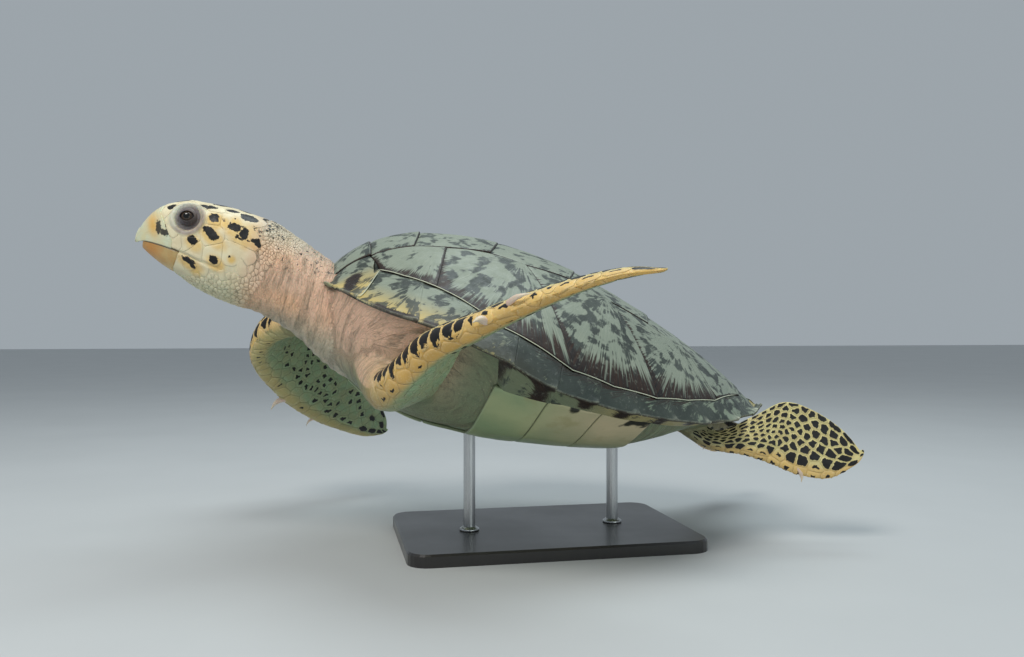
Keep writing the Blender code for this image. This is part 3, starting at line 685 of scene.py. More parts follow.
def marginal(number, sign):
    """One marginal plate as a closed wedge, its tip drawn out and turned up towards the tail."""
    first, last = seam_at_rim(MARGINALS[number - 1]), seam_at_rim(MARGINALS[number])
    back = smooth_step(0.45, 0.95, (MARGINALS[number - 1] + MARGINALS[number]) / 2)
    t = 1 - (1 - np.linspace(0, 1, MARGINAL_GRID[1])) ** 1.5
    along, across = np.meshgrid(edge_steps(MARGINAL_GRID[0]), t, indexing="ij")
    length = 0.075
    overlap = 0.0032 / length * (0.4 + back)
    seam = first + (last - first) * (along * (1 + overlap))
    start = 0.0 if number == 12 else 2.0
    if number == 1:
        start = np.interp(seam, (0, 1, 1.0001, 11), (1, 1, 2, 2))
    line = sign * (start + 0.012 + (3 - start - 0.012) * across)
    if number == 12:
        # It closes in behind the last vertebral plate
        seam = seam - (first - 10.0) * smooth_step(2.3, 1.9, np.abs(line)) * (1 - along)
    seam = np.clip(seam, 0.0, 11.0)
    u = plan(seam, line)[1]
    top = shell_top(seam, line)
    under = shell_under(seam, np.where(np.abs(line) < 2.0, line, sign * (2.0 + across)))
    up = facing(top, (0, 0, 1))
    # In front of the shoulder the plates are thin, and soft skin meets them from below
    thin = smooth_step(0.37, 0.30, u)[..., None]
    under = under + (top - 0.0042 * up - under) * thin
    under[:, -1] = top[:, -1]
    down = facing(under, (0, 0, -1))
    # The drawn-out rear corner
    tip = smooth_step(0.45, 1.0, along) * smooth_step(0.45, 1.0, across)
    outward = unit(top[:, -1:] - top[:, -6:-5])
    draw = tip[..., None] * back * (outward * 0.0050 + REARWARD * 0.0065)
    curl = (smooth_step(0.72, 1.0, along) * smooth_step(0.55, 1.0, across))[..., None] * UPWARD
    draw = draw + curl * (0.0015 + 0.0060 * smooth_step(0.70, 0.95, u.mean()))
    lift = 0.0008 + REAR_LIFT * along**2.2 * (0.5 + 0.5 * back)
    width = np.linalg.norm(top[:, -1] - top[:, 0], axis=-1).mean()
    near = np.minimum(np.minimum(along, 1 - along) * length, across * width)
    round_off = ROUND_DEPTH * (1 - smooth_step(0.0, EDGE_ROUND, near))
    wave = lattice_noise(top, 0.02, number) * 0.0005
    upper = top + up * (lift + wave - round_off)[..., None] + draw
    lower = under + down * (0.0006 - round_off * 0.6)[..., None] + draw
    upper[:, -1] += outward[:, 0] * RIM_ROUND * 0.5
    lower[:, -1] += outward[:, 0] * RIM_ROUND * 0.5 - UPWARD * RIM_ROUND * 0.8
    worn = smooth_step(0.80, 1.0, along) * smooth_step(0.6, 1.0, across) * (0.25 + 0.75 * back)
    worn = np.clip(worn + smooth_step(0.93, 1.0, across) * 0.22, 0, 1)
    front = 1 - smooth_step(0.30, 0.50, u)
    middle_plates = smooth_step(0.28, 0.42, u) * smooth_step(0.80, 0.62, u)
    dark_top = np.clip(0.25 + 0.5 * smooth_step(0.6, 0.0, across) * (1 - front), 0, 1) * 0.62
    dark_top = dark_top + 0.20 * middle_plates
    if number == 1:
        dark_top = np.maximum(dark_top, 1.2 * bell(along - 0.50, 0.20) * smooth_step(0.30, 0.55, across))
    elif number in (2, 3):
        start = 0.10 if number == 2 else -0.2
        lower_edge = smooth_step(0.70, 0.90, across) * smooth_step(start, 0.45, along)
        dark_top = np.maximum(dark_top, 1.1 * lower_edge)
    # On the rear undersides the painted shade thins and more amber shows: painted light in a sandy strip
    # along the bridge
    rear_low = smooth_step(0.46, 0.60, u)
    # A black blotch under the rear half of each plate, which reaches in from the rim
    blot = bell(along - 0.72, 0.26) * smooth_step(-0.05, 0.35, across + 0.12 * (number % 3))
    dark_low = np.clip(blot * 0.95 + 0.75 * smooth_step(0.55, 0.90, across), 0, 1.2)
    amber_top = front * smooth_step(0.25, 0.85, across) * 0.95
    flat = np.ones_like(across)
    return {
        "points": np.stack([upper, lower]),
        "plate_number": np.stack([flat, flat]) * (number * 5.3 + (60 if sign < 0 else 0)),
        "margin": np.stack([dark_top, dark_low]),
        "dapple": np.stack([0.66 - 0.12 * front + 0.34 * middle_plates, 0.30 * flat]),
        # Painted shade: dark green over the tops of the plates behind the front ones, and over their
        # undersides
        "shade": np.stack([(1 - front) * (0.80 - 0.50 * back), 0.80 - 0.60 * rear_low]),
        "amber": np.stack([amber_top, 0.30 + 0.15 * across + 0.30 * rear_low]),
        "worn": np.stack([worn, worn * 0.6]),
        "growth": np.stack([streaks_from(top[-1, 0], top, 0.3)] * 2),
    }


def joined(parts, key, width=None):
    """What all the parts carry under a key, as one long list of numbers or of rows so many wide."""
    shape = -1 if width is None else (-1, width)
    return np.concatenate([part[key].reshape(shape) for part in parts])


def make_marginals():
    for side, sign in (("left", 1), ("right", -1)):
        faces = [f[::sign * -1] for f in sheet_faces(*MARGINAL_GRID)]
        parts = [marginal(number, sign) for number in range(1, 13)]
        rim_faces = shifted_faces([(part["points"].reshape(-1, 3), faces) for part in parts])
        keys = ("plate_number", "margin", "dapple", "amber", "worn", "shade")
        looks = {"floats": {key: joined(parts, key) for key in keys}}
        looks["maps"] = {"growth": joined(parts, "growth", 2)}
        name, nodes = f"marginal_plates_{side}", (f"marginal_rim_{side}",)
        add_piece(name, "scutes", nodes, joined(parts, "points", 3), rim_faces, TORTOISESHELL, **looks)


make_marginals()

# The plastron's pairs of plates, front to rear, the plates of the bridge between them and the
# marginals, and how far out from the midline the pairs reach, as a share of the half width
PLASTRON_PAIRS = (0.105, 0.165, 0.265, 0.375, 0.500, 0.610, 0.715, 0.800)
BRIDGE = (0.350, 0.450, 0.555, 0.665)
PLASTRON_HALF = 0.44


def belly_plate(us, shares, sign, steps=(34, 30)):
    """Points, faces, seam depth and plain place of a closed plate on the belly.

    It lies between two places along the belly and between two shares of its half width.
    """
    along, across = np.meshgrid(edge_steps(steps[0]), edge_steps(steps[1]), indexing="ij")
    u = us[0] + (us[1] - us[0]) * along
    share = shares[0](u) + (shares[1](u) - shares[0](u)) * across
    x = sign * share * outline(u)
    top = np.stack([x, (u - 0.5) * SHELL_LENGTH, belly(x, u)], axis=-1)
    length, width = (us[1] - us[0]) * SHELL_LENGTH, np.abs(x[:, -1] - x[:, 0]).mean()
    near = np.minimum(np.minimum(along, 1 - along) * length, np.minimum(across, 1 - across) * width)
    groove = 1 - smooth_step(0.0, 0.0022, near)
    ridge = bell(share - PLASTRON_HALF, 0.035) * smooth_step(0.16, 0.3, u) * (1 - smooth_step(0.7, 0.78, u))
    wave = lattice_noise(top, 0.045, 3) * 0.0009 + lattice_noise(top, 0.012, 5) * 0.00025
    height = 0.0010 + wave - 0.0014 * groove + 0.0022 * ridge
    points, faces = slab(top, facing(top, (0, 0, -1)), height, 0.0034)
    return points, faces, twice(groove), twice(top)


def make_plastron():
    def bridge_edge(u):
        """Outer edge of the bridge, just under the marginal plates."""
        return np.interp(u, SEAM_POINTS[:, 2, 1], SEAM_POINTS[:, 2, 0]) / outline(u) + 0.014

    def bow(u):
        """Outer edge of the paired plates, which narrows to both ends."""
        narrow = smooth_step(0.24, 0.105, u) * 0.16 + smooth_step(0.66, 0.80, u) * 0.20
        return PLASTRON_HALF - narrow

    gap = 0.0004 / SHELL_LENGTH
    plates = []
    for sign in (1, -1):
        for us in zip(PLASTRON_PAIRS, PLASTRON_PAIRS[1:]):
            edges = (lambda u: np.full_like(u, 0.002), bow)
            plates.append(belly_plate((us[0] + gap, us[1] - gap), edges, sign))
        for us in zip(BRIDGE, BRIDGE[1:]):
            edges = (lambda u: bow(u) + 0.004, bridge_edge)
            plates.append(belly_plate((us[0] + gap, us[1] - gap), edges, sign))
    points, _, seams, places = (np.concatenate(found) for found in zip(*plates))
    faces = shifted_faces([plate[:2] for plate in plates])
    along = places[:, 1] / SHELL_LENGTH + 0.5
    share = np.abs(places[:, 0]) / outline(along)
    blot = lattice_noise(places, 0.018, 9) * 0.009 - 0.012 + 0.010 * smooth_step(0.78, 0.90, share)
    # The sand mask: a strip along the bridge where painted light shows the plastron's sandy colour, and a
    # little in the middle
    sand = smooth_step(0.40, 0.58, along) * smooth_step(0.84, 0.70, along) * smooth_step(0.50, 0.76, share)
    sand = sand + 0.35 * smooth_step(0.30, 0.05, share)
    floats = {"margin": seams, "blot": blot, "sand": np.clip(sand, 0, 1)}
    add_piece("plastron_plates", "plastron", ("plastron",), points, faces, PLASTRON_HORN, floats=floats)


make_plastron()


def seam_ribbon(points, normals, width, height):
    """A soft raised line of new horn along a seam."""
    way = unit(np.gradient(points, axis=0))
    side = np.cross(way, normals)
    steps = np.arange(len(points))
    ends = np.minimum(1, np.minimum(steps, steps[::-1]) / 6 + 0.15)[:, None, None]
    c, s = turns_round(10)[1].T[:, None, :, None]
    ring = c * side[:, None] * width * ends + (s * height * ends - 0.0004) * normals[:, None]
    return points[:, None] + ring


def seam_horn():
    f = Finish("seam_horn", roughness=0.45)
    cloud = f.noise(f.place, 120.0, detail=4.0)
    return f.done(f.mix(cloud, (0.40, 0.44, 0.34), (0.66, 0.66, 0.50)))


def make_seams():
    """Pale lines of growth between costal and marginal plates, and between the first marginals."""
    finish = seam_horn()
    along = (np.linspace(0.9, 9.9, 260), np.full(260, 2.0), (0.0, 0.03))
    down = (np.full(40, seam_at_rim(0.075)), np.linspace(2, 2.9, 40), (0.05, 0.0))
    for side, sign in (("left", 1), ("right", -1)):
        runs = []
        for seam, line, aside in (along, down):
            middle = shell_top(seam, sign * line)
            beside = shell_top(seam + aside[0], sign * (line + aside[1]))
            normal = unit(np.cross(np.gradient(middle, axis=0), beside - middle))
            normal = normal * np.sign(normal[:, 2:3])
            middle = middle + normal * (0.0022 + 0.0002 * lattice_noise(middle, 0.01, 71)[:, None])
            ring = seam_ribbon(middle, normal, 0.0007, 0.0005)
            runs.append((ring.reshape(-1, 3), tube_faces(*ring.shape[:2])))
        points = np.concatenate([run[0] for run in runs])
        add_piece(f"seam_line_{side}", "scutes", (), points, shifted_faces(runs), finish)


make_seams()


# ---------------------------------------------------------------- head and neck form

# Each row: y, top, underside, half width
NECK_KEYS = (
    (-0.255, 0.0400, -0.0900, 0.1050),
    (-0.290, 0.0480, -0.0880, 0.1040),
    (-0.330, 0.0600, -0.0720, 0.0920),
    (-0.370, 0.0750, -0.0500, 0.0740),
    (-0.412, 0.0900, -0.0370, 0.0610),
    (-0.440, 0.0990, -0.0310, 0.0535),
    (-0.470, 0.1010, -0.0300, 0.0515),
    (-0.500, 0.1020, -0.0260, 0.0500),
    (-0.530, 0.1000, -0.0190, 0.0460),
    (-0.555, 0.0955, -0.0090, 0.0405),
    (-0.577, 0.0890, -0.0015, 0.0330),
    (-0.594, 0.0785, 0.0060, 0.0250),
    (-0.606, 0.0650, 0.0125, 0.0175),
    (-0.6145, 0.0490, 0.0185, 0.0100),
    (-0.6185, 0.0350, 0.0240, 0.0035),
)
NECK_TABLE = curve_through(NECK_KEYS, np.linspace(0, len(NECK_KEYS) - 1, 900))[::-1]
EYE_RADIUS = 0.0130
EYE_AT = np.array([0.0268, -0.5545, 0.0735])

MOUTH_Y = (-0.6200, -0.6095, -0.5950, -0.5800, -0.5580, -0.5300, -0.4940)
MOUTH_Z = (0.0212, 0.0248, 0.0265, 0.0272, 0.0262, 0.0233, 0.0205)
# Rear edges of the two horny sheaths, as y against z
UPPER_EDGE_Z = (0.020, 0.036, 0.052, 0.070, 0.110)
UPPER_EDGE_Y = (-0.562, -0.566, -0.578, -0.592, -0.598)
LOWER_EDGE_Z = (-0.030, -0.010, 0.0276)
LOWER_EDGE_Y = (-0.562, -0.559, -0.553)


def mouth_height(y):
    return np.interp(y, MOUTH_Y, MOUTH_Z)


def head_point(y, turn, grow=0.0):
    """A point of the plain head or neck at y, turn round from its left side over the crown."""
    top, bottom, half = (np.interp(y, NECK_TABLE[:, 0], NECK_TABLE[:, k]) for k in (1, 2, 3))
    c, s = np.cos(turn), np.sin(turn)
    power = 2 / 2.3
    middle = (top + bottom) / 2
    x = (half + grow) * np.sign(c) * np.abs(c) ** power
    z = middle + ((top - bottom) / 2 + grow) * np.sign(s) * np.abs(s) ** power
    return np.stack([x, y + np.zeros_like(turn), z], axis=-1)


def side_place(y, z):
    """The point of the plain head's left side at y and z."""
    turns = np.linspace(-np.pi / 2, np.pi / 2, 721)
    ring = head_point(np.full_like(turns, y), turns)
    return ring[np.argmin(np.abs(ring[:, 2] - z))]


ORBIT_AT = side_place(EYE_AT[1], EYE_AT[2])
EYE_OUT = unit(np.array([1.0, -0.16, 0.30]))

# Soft swellings and hollows on both sides of the head: y, z, how wide and how far
HEAD_FORMS = (
    (-0.5590, 0.0950, 0.011, 0.0022),
    (-0.5000, 0.0230, 0.028, 0.0032),
    (-0.4700, 0.0450, 0.022, 0.0018),
    (-0.5200, 0.0650, 0.014, -0.0012),
    (-0.5850, 0.0480, 0.010, -0.0010),
    (-0.5300, 0.0380, 0.013, 0.0012),
    (-0.4850, -0.0080, 0.016, 0.0018),
    (-0.4350, 0.0600, 0.020, -0.0015),
)


def both_sides(place):
    return np.concatenate([np.abs(place[..., :1]), place[..., 1:]], axis=-1)


def from_crown(turns):
    """How far round from the crown a turn round the head lies, on either side."""
    return np.abs(np.angle(np.exp(1j * (turns - np.pi / 2))))


def under_horn(place):
    """How far in a point lies under the horny sheaths, from 0 to 1."""
    y, z = place[..., 1], place[..., 2]
    upper = smooth_step(0.0, 0.0025, np.interp(z, UPPER_EDGE_Z, UPPER_EDGE_Y) - y)
    lower = smooth_step(0.0, 0.0025, np.interp(z, LOWER_EDGE_Z, LOWER_EDGE_Y) - y)
    return np.where(z > mouth_height(y), upper, lower)


def head_relief(place):
    """How far the skin of head and neck stands off its plain form."""
    mirrored = both_sides(place)
    y, z = place[..., 1], place[..., 2]
    relief = np.zeros(place.shape[:-1])
    for form_y, form_z, width, height in HEAD_FORMS:
        relief += height * bell(np.linalg.norm(mirrored - side_place(form_y, form_z), axis=-1), width)
    away = np.linalg.norm(mirrored - ORBIT_AT, axis=-1)
    over = 0.5 + 0.5 * unit(mirrored - ORBIT_AT)[..., 2]
    relief += (0.0016 + 0.0030 * over) * bell(away - 0.0216 - 0.0010 * over, 0.0034)
    relief -= 0.0045 * (1 - smooth_step(0.0150, 0.0190, away))
    # The gape, which runs back under the eye, between two soft lips
    above = z - mouth_height(y)
    lips = smooth_step(-0.488, -0.505, y)
    relief -= 0.0016 * bell(above, 0.0013) * smooth_step(-0.490, -0.500, y)
    relief += 0.0009 * bell(above - 0.0042, 0.0024) * lips
    relief += 0.0007 * bell(above + 0.0045, 0.0024) * lips
    # Folds of loose skin where the neck bends, deepest low down
    neck = smooth_step(-0.452, -0.425, y)
    low = 0.35 + 0.65 * smooth_step(0.07, -0.01, z)
    sway = lattice_noise(place, 0.045, 21) * 0.010
    folds = np.sin((y + sway + 0.25 * (z - 0.02)) * (2 * np.pi / 0.0135)) ** 3
    relief += neck * low * 0.0011 * folds
    relief += neck * 0.0008 * lattice_noise(place * np.array([1.0, 2.2, 1.0]), 0.011, 22)
    throat = smooth_step(-0.545, -0.515, y) * smooth_step(0.002, -0.014, z) * (1 - neck)
    relief += throat * 0.0009 * np.sin(np.abs(place[..., 0]) * 2 * np.pi / 0.0075 + 60 * y)
    relief += 0.0002 * lattice_noise(place, 0.006, 23)
    return relief - 0.0024 * under_horn(place)


HEAD_ROWS = np.concatenate([np.linspace(-0.6065, -0.440, 114), np.linspace(-0.4375, -0.255, 62)])
HEAD_AROUND = 208
HEAD_TURNS = turns_round(HEAD_AROUND)[0]
HEAD_ROUND = 0.052


def outward_surface(grid):
    """A closed surface round its own middle line, with its normals outward."""
    surface = Surface(grid, closed=True)
    out = (surface.normals * (grid - grid.mean(axis=1, keepdims=True))).sum()
    surface.normals = surface.normals * np.sign(out)
    return surface


def head_surface():
    plain = head_point(*np.meshgrid(HEAD_ROWS, HEAD_TURNS, indexing="ij"))
    return outward_surface(plain + outward_surface(plain).normals * head_relief(plain)[..., None])


HEAD_SURFACE = head_surface()


# ---------------------------------------------------------------- flipper form


def blade_thickness(share):
    """Half thickness of a flipper along its chord, with a round leading edge."""
    knots = np.sqrt((0.0, 0.05, 0.18, 0.40, 0.66, 0.86, 1.0))
    q = np.sqrt(np.clip(share, 0, 1))
    wide = [np.interp(q + s, knots, (0.0, 0.55, 0.95, 1.0, 0.66, 0.36, 0.16)) for s in (-0.03, 0.0, 0.03)]
    return np.where(q < 0.03, wide[1], sum(wide) / 3)


# How strongly the points of a flipper crowd towards its leading edge
BLADE_CROWD = 1.6


class Blade:
    """A flipper: its surface from the rear edge underneath, round the leading edge, to the rear edge above.

    Each key row holds the middle of the leading edge, the way of the chord, the chord and half of
    the thickness.
    """

    def __init__(self, keys, sign, rows, half_columns):
        run = curve_through(keys, np.linspace(0, len(keys) - 1, rows))
        ways = unit(np.gradient(run[:, :3], axis=0))
        tip = []
        for turn in (35, 60, 78):
            keep = math.cos(math.radians(turn))
            row = run[-1].copy()
            row[:3] += ways[-1] * row[6] * 0.45 * math.sin(math.radians(turn))
            row[:3] += unit(row[3:6]) * row[6] * (1 - keep) / 2
            row[6:8] *= keep
            tip.append(row)
        run = np.concatenate([run, tip])
        ways = unit(np.gradient(run[:, :3], axis=0))
        self.rows = rows
        self.lengths = np.concatenate([[0], np.cumsum(np.linalg.norm(np.diff(run[:, :3], axis=0), axis=1))])
        self.chord = run[:, 6]
        self.w = np.linspace(-1, 1, 2 * half_columns)
        share = np.abs(self.w) ** BLADE_CROWD
        chord_way = unit(run[:, 3:6])
        lift_way = unit(np.cross(ways, chord_way))
        thick = np.maximum(run[:, 7:8] * blade_thickness(share)[None, :] - 0.0007, 0.0008)
        middle = run[:, None, :3] + chord_way[:, None, :] * (run[:, 6:7] * share[None, :])[..., None]
        grid = middle + lift_way[:, None, :] * (thick * np.sign(self.w)[None, :])[..., None]
        self.share = np.broadcast_to(share, grid.shape[:2])
        self.s = np.broadcast_to((np.arange(len(run)) / (rows - 1))[:, None], grid.shape[:2])
        self.side = np.broadcast_to(np.sign(self.w), grid.shape[:2])
        normals = Surface(grid, closed=False).normals
        normals = normals * np.sign((normals * unit(grid - middle + 1e-9)).sum())
        # Ridges of the finger bones under the skin, fanning to the tip
        outer = smooth_step(0.45, 0.6, self.s) * smooth_step(1.0, 0.9, self.s)
        fan = np.sin(self.share * 2 * np.pi * 4.2) * outer
        grid = grid + normals * (0.0006 * fan * np.minimum(1, thick / 0.006))[..., None]
        self.surface = Surface(grid * (sign, 1, 1), closed=False)
        self.surface.normals = normals * (sign, 1, 1)


RAISED_ARM = (
    (0.080, -0.285, -0.020, 0.10, 0.95, -0.05, 0.090, 0.024),
    (0.125, -0.284, -0.045, 0.00, 0.95, 0.05, 0.100, 0.031),
    (0.178, -0.270, -0.058, -0.20, 0.92, 0.15, 0.102, 0.032),
    (0.225, -0.258, -0.050, -0.45, 0.86, 0.05, 0.090, 0.028),
    (0.265, -0.243, -0.016, -0.36, 0.92, 0.12, 0.072, 0.024),
    (0.300, -0.222, 0.024, -0.66, 0.70, 0.26, 0.080, 0.020),
    (0.333, -0.184, 0.064, -0.78, 0.58, 0.24, 0.100, 0.016),
    (0.364, -0.143, 0.105, -0.84, 0.505, 0.20, 0.106, 0.0125),
    (0.393, -0.098, 0.146, -0.84, 0.505, 0.20, 0.091, 0.0085),
    (0.412, -0.052, 0.178, -0.83, 0.52, 0.20, 0.058, 0.0055),
    (0.420, -0.014, 0.195, -0.80, 0.56, 0.20, 0.016, 0.0030),
)
LOWERED_ARM = (
    (0.080, -0.285, -0.020, 0.10, 0.95, -0.05, 0.090, 0.024),
    (0.122, -0.318, -0.045, 0.15, 0.95, 0.10, 0.104, 0.031),
    (0.168, -0.362, -0.060, 0.25, 0.88, 0.25, 0.110, 0.031),
    (0.203, -0.410, -0.082, 0.24, 0.76, 0.52, 0.114, 0.028),
    (0.226, -0.440, -0.122, 0.20, 0.60, 0.76, 0.122, 0.025),
    (0.255, -0.432, -0.172, 0.16, 0.54, 0.82, 0.125, 0.021),
    (0.292, -0.368, -0.226, 0.18, 0.54, 0.82, 0.125, 0.0175),
    (0.326, -0.308, -0.255, 0.20, 0.54, 0.82, 0.112, 0.0125),
    (0.360, -0.248, -0.271, 0.20, 0.54, 0.82, 0.088, 0.0085),
    (0.388, -0.202, -0.278, 0.20, 0.54, 0.82, 0.055, 0.0055),
    (0.402, -0.172, -0.271, 0.20, 0.54, 0.82, 0.016, 0.0030),
)
REAR_FIN = (
    (0.055, 0.190, -0.014, -0.15, 0.20, 0.97, 0.028, 0.012),
    (0.078, 0.226, -0.030, -0.18, 0.15, 0.97, 0.036, 0.016),
    (0.101, 0.264, -0.035, -0.20, 0.10, 0.97, 0.030, 0.014),
    (0.119, 0.306, -0.027, -0.20, 0.05, 0.97, 0.060, 0.011),
    (0.126, 0.348, -0.0275, -0.20, 0.00, 0.97, 0.094, 0.0085),
    (0.137, 0.392, -0.031, -0.20, 0.00, 0.97, 0.099, 0.0065),
    (0.149, 0.435, -0.022, -0.20, 0.02, 0.97, 0.076, 0.0050),
    (0.157, 0.463, 0.008, -0.20, 0.10, 0.97, 0.024, 0.0030),
)
LOWERED_FIN = (
    (0.055, 0.190, -0.014, -0.15, 0.20, 0.97, 0.028, 0.012),
    (0.078, 0.226, -0.034, -0.18, 0.15, 0.97, 0.036, 0.016),
    (0.104, 0.262, -0.048, -0.45, 0.10, 0.88, 0.032, 0.014),
    (0.128, 0.300, -0.058, -0.60, 0.05, 0.80, 0.058, 0.011),
    (0.150, 0.338, -0.070, -0.65, 0.00, 0.76, 0.090, 0.0085),
    (0.172, 0.378, -0.084, -0.65, 0.00, 0.76, 0.096, 0.0065),
    (0.194, 0.418, -0.088, -0.65, 0.02, 0.76, 0.074, 0.0050),
    (0.206, 0.446, -0.070, -0.60, 0.10, 0.76, 0.024, 0.0030),
)
BLADES = {
    "front_left": Blade(RAISED_ARM, 1, 116, 46),
    "front_right": Blade(LOWERED_ARM, -1, 116, 46),
    "rear_left": Blade(REAR_FIN, 1, 72, 32),
    "rear_right": Blade(LOWERED_FIN, -1, 72, 32),
}


# ---------------------------------------------------------------- markings

CREAM = np.array((0.82, 0.735, 0.50))
PEACH = np.array((0.84, 0.46, 0.27))
ROSE = np.array((0.77, 0.48, 0.35))
AMBER = np.array((0.78, 0.42, 0.09))
LEMON = np.array((0.76, 0.66, 0.30))
UNDERSIDE_PAINTED_SHADE = np.array((0.25, 0.36, 0.20))
ROOT_PAINTED_SHADE = np.array((0.20, 0.25, 0.14))
FLESH = np.array((0.72, 0.50, 0.36))
STAIN = AMBER * np.array((1.0, 1.15, 1.1))
THROAT_PAINTED_SHADE = np.array((0.52, 0.55, 0.36))
NAPE_GREY = np.array((0.44, 0.47, 0.38))
NECK_SHADE = np.array((0.42, 0.46, 0.34))
ORBIT_PAINTED_SHADE = np.array((0.13, 0.115, 0.125))
RIM_PAINTED_SHADE = np.array((0.30, 0.25, 0.235))
RIM_PAINTED_LIGHT = np.array((0.66, 0.66, 0.53))

# Dark spots on the side of the head: y, z, half sizes along and across, and tilt in degrees
HEAD_SPOTS = (
    (-0.5203, 0.0845, 0.0078, 0.0062, -10),
    (-0.5078, 0.0852, 0.0022, 0.0024, 0),
    (-0.5178, 0.0627, 0.0138, 0.0062, -28),
    (-0.5397, 0.0472, 0.0076, 0.0056, -30),
    (-0.4905, 0.0800, 0.0100, 0.0056, -6),
    (-0.4755, 0.0755, 0.0062, 0.0098, 15),
    (-0.4830, 0.0690, 0.0040, 0.0022, 0),
    (-0.4940, 0.0915, 0.0024, 0.0018, 0),
    (-0.4640, 0.0860, 0.0050, 0.0026, -20),
    (-0.4540, 0.0690, 0.0085, 0.0052, -6),
    (-0.4490, 0.0755, 0.0022, 0.0034, 0),
    (-0.5048, 0.0297, 0.0080, 0.0056, -24),
    (-0.5380, 0.0180, 0.0100, 0.0042, -16),
    (-0.5300, 0.0125, 0.0050, 0.0032, -45),
    (-0.4849, 0.0409, 0.0010, 0.0010, 0),
)
# Dark patches on top of the head, on both sides of the midline: x, y and half sizes
CROWN_SPOTS = (
    (0.0200, -0.5830, 0.0060, 0.0065),
    (0.0000, -0.5720, 0.0075, 0.0120),
    (0.0206, -0.5340, 0.0050, 0.0135),
    (0.0000, -0.5200, 0.0095, 0.0130),
    (0.0190, -0.5010, 0.0050, 0.0085),
    (0.0230, -0.4765, 0.0085, 0.0135),
    (0.0000, -0.4850, 0.0060, 0.0090),
    (0.0100, -0.4530, 0.0090, 0.0065),
)
# Smudges on the upper bill: y, z, half sizes along and across, and tilt
BILL_SPOTS = (
    (-0.5900, 0.0500, 0.0040, 0.0100, 18),
    (-0.5795, 0.0455, 0.0075, 0.0050, 0),
    (-0.5790, 0.0590, 0.0036, 0.0090, 10),
)


def spot_depth(place, spots):
    """How far inside any of the spots a point of the side of the head lies: negative outside."""
    mirrored = both_sides(place)
    depth = np.full(place.shape[:-1], -0.03)
    off_side = 0.02 * (1 - smooth_step(0.004, 0.012, mirrored[..., 0]))
    for y, z, long, wide, tilt in spots:
        dy, dz = mirrored[..., 1] - y, mirrored[..., 2] - z
        c, s = math.cos(math.radians(tilt)), math.sin(math.radians(tilt))
        far = np.hypot((dy * c + dz * s) / long, (dz * c - dy * s) / wide)
        depth = np.maximum(depth, (1 - far) * min(long, wide) - off_side)
    return depth


def head_dark(place):
    """How far inside a dark spot a point of the head lies, in metres: negative outside."""
    mirrored = both_sides(place)
    ragged = lattice_noise(place, 0.0045, 31) * 0.0011 + lattice_noise(place, 0.0018, 32) * 0.0005
    lopsided = np.where(place[..., 0] > 0, 0.0, lattice_noise(place, 0.020, 33) * 0.0020)
    depth = spot_depth(place, HEAD_SPOTS)
    off_top = 0.02 * (1 - smooth_step(0.070, 0.080, mirrored[..., 2]))
    for x, y, wide, long in CROWN_SPOTS:
        far = np.hypot((mirrored[..., 0] - x) / wide, (mirrored[..., 1] - y) / long)
        depth = np.maximum(depth, (1 - far) * min(long, wide) - off_top)
    return depth + ragged + lopsided


def head_tint(place):
    """Ground colour of head and neck, with painted shade low down and in the orbit, and painted light and
    shade round the orbit's rim.
    """
    y, z = place[..., 1:2], place[..., 2:3]
    cloud = lattice_noise(place, 0.030, 41)[..., None]
    tint = CREAM * (1 + 0.06 * cloud)
    # A yellow stain runs down and back from every dark spot
    stain = spot_depth(place + np.array((0.0, -0.0032, 0.0040)), HEAD_SPOTS)[..., None]
    stain = np.clip(smooth_step(-0.0080, -0.0006, stain) * (0.80 + 0.25 * cloud), 0, 1)
    tint = blend(tint, STAIN, stain * 0.92)
    # Painted shade: a green cast low on the head
    tint = blend(tint, THROAT_PAINTED_SHADE, smooth_step(0.015, -0.022, z) * 0.7)
    neck = smooth_step(-0.478, -0.440, y)
    tint = blend(tint, blend(PEACH, ROSE, np.clip(0.5 + 0.7 * cloud, 0, 1)), neck * 0.85)
    tint = blend(tint, ROSE, smooth_step(-0.400, -0.300, y) * 0.55)
    tint = blend(tint, NAPE_GREY, smooth_step(0.055, 0.092, z) * neck * 0.72)
    # Painted shade: darker and greener low on the neck
    tint = blend(tint, NECK_SHADE, smooth_step(0.01, -0.05, z) * neck * 0.7)
    away = np.linalg.norm(both_sides(place) - ORBIT_AT, axis=-1)[..., None]
    # Painted shade in the hollow of the orbit, under the lids
    tint = blend(tint, ORBIT_PAINTED_SHADE, (1 - smooth_step(0.0165, 0.0190, away)) * 0.95)
    # Painted light and shade: the rim of the orbit is pale in front and above, where light falls, and dusky
    # behind and below, where it is shaded
    ahead = -0.75 * (y - EYE_AT[1]) + 0.65 * (z - EYE_AT[2])
    pale = smooth_step(-0.010, 0.012, ahead + 0.003 * cloud)
    mottle = lattice_noise(place, 0.0035, 43)[..., None]
    rim = blend(RIM_PAINTED_SHADE, RIM_PAINTED_LIGHT, pale) * (1 + (0.12 + 0.30 * (1 - pale)) * mottle)
    ring = smooth_step(0.0180, 0.0195, away) * smooth_step(0.0258, 0.0222, away - 0.0020 * pale)
    return blend(tint, rim, ring * 0.88)


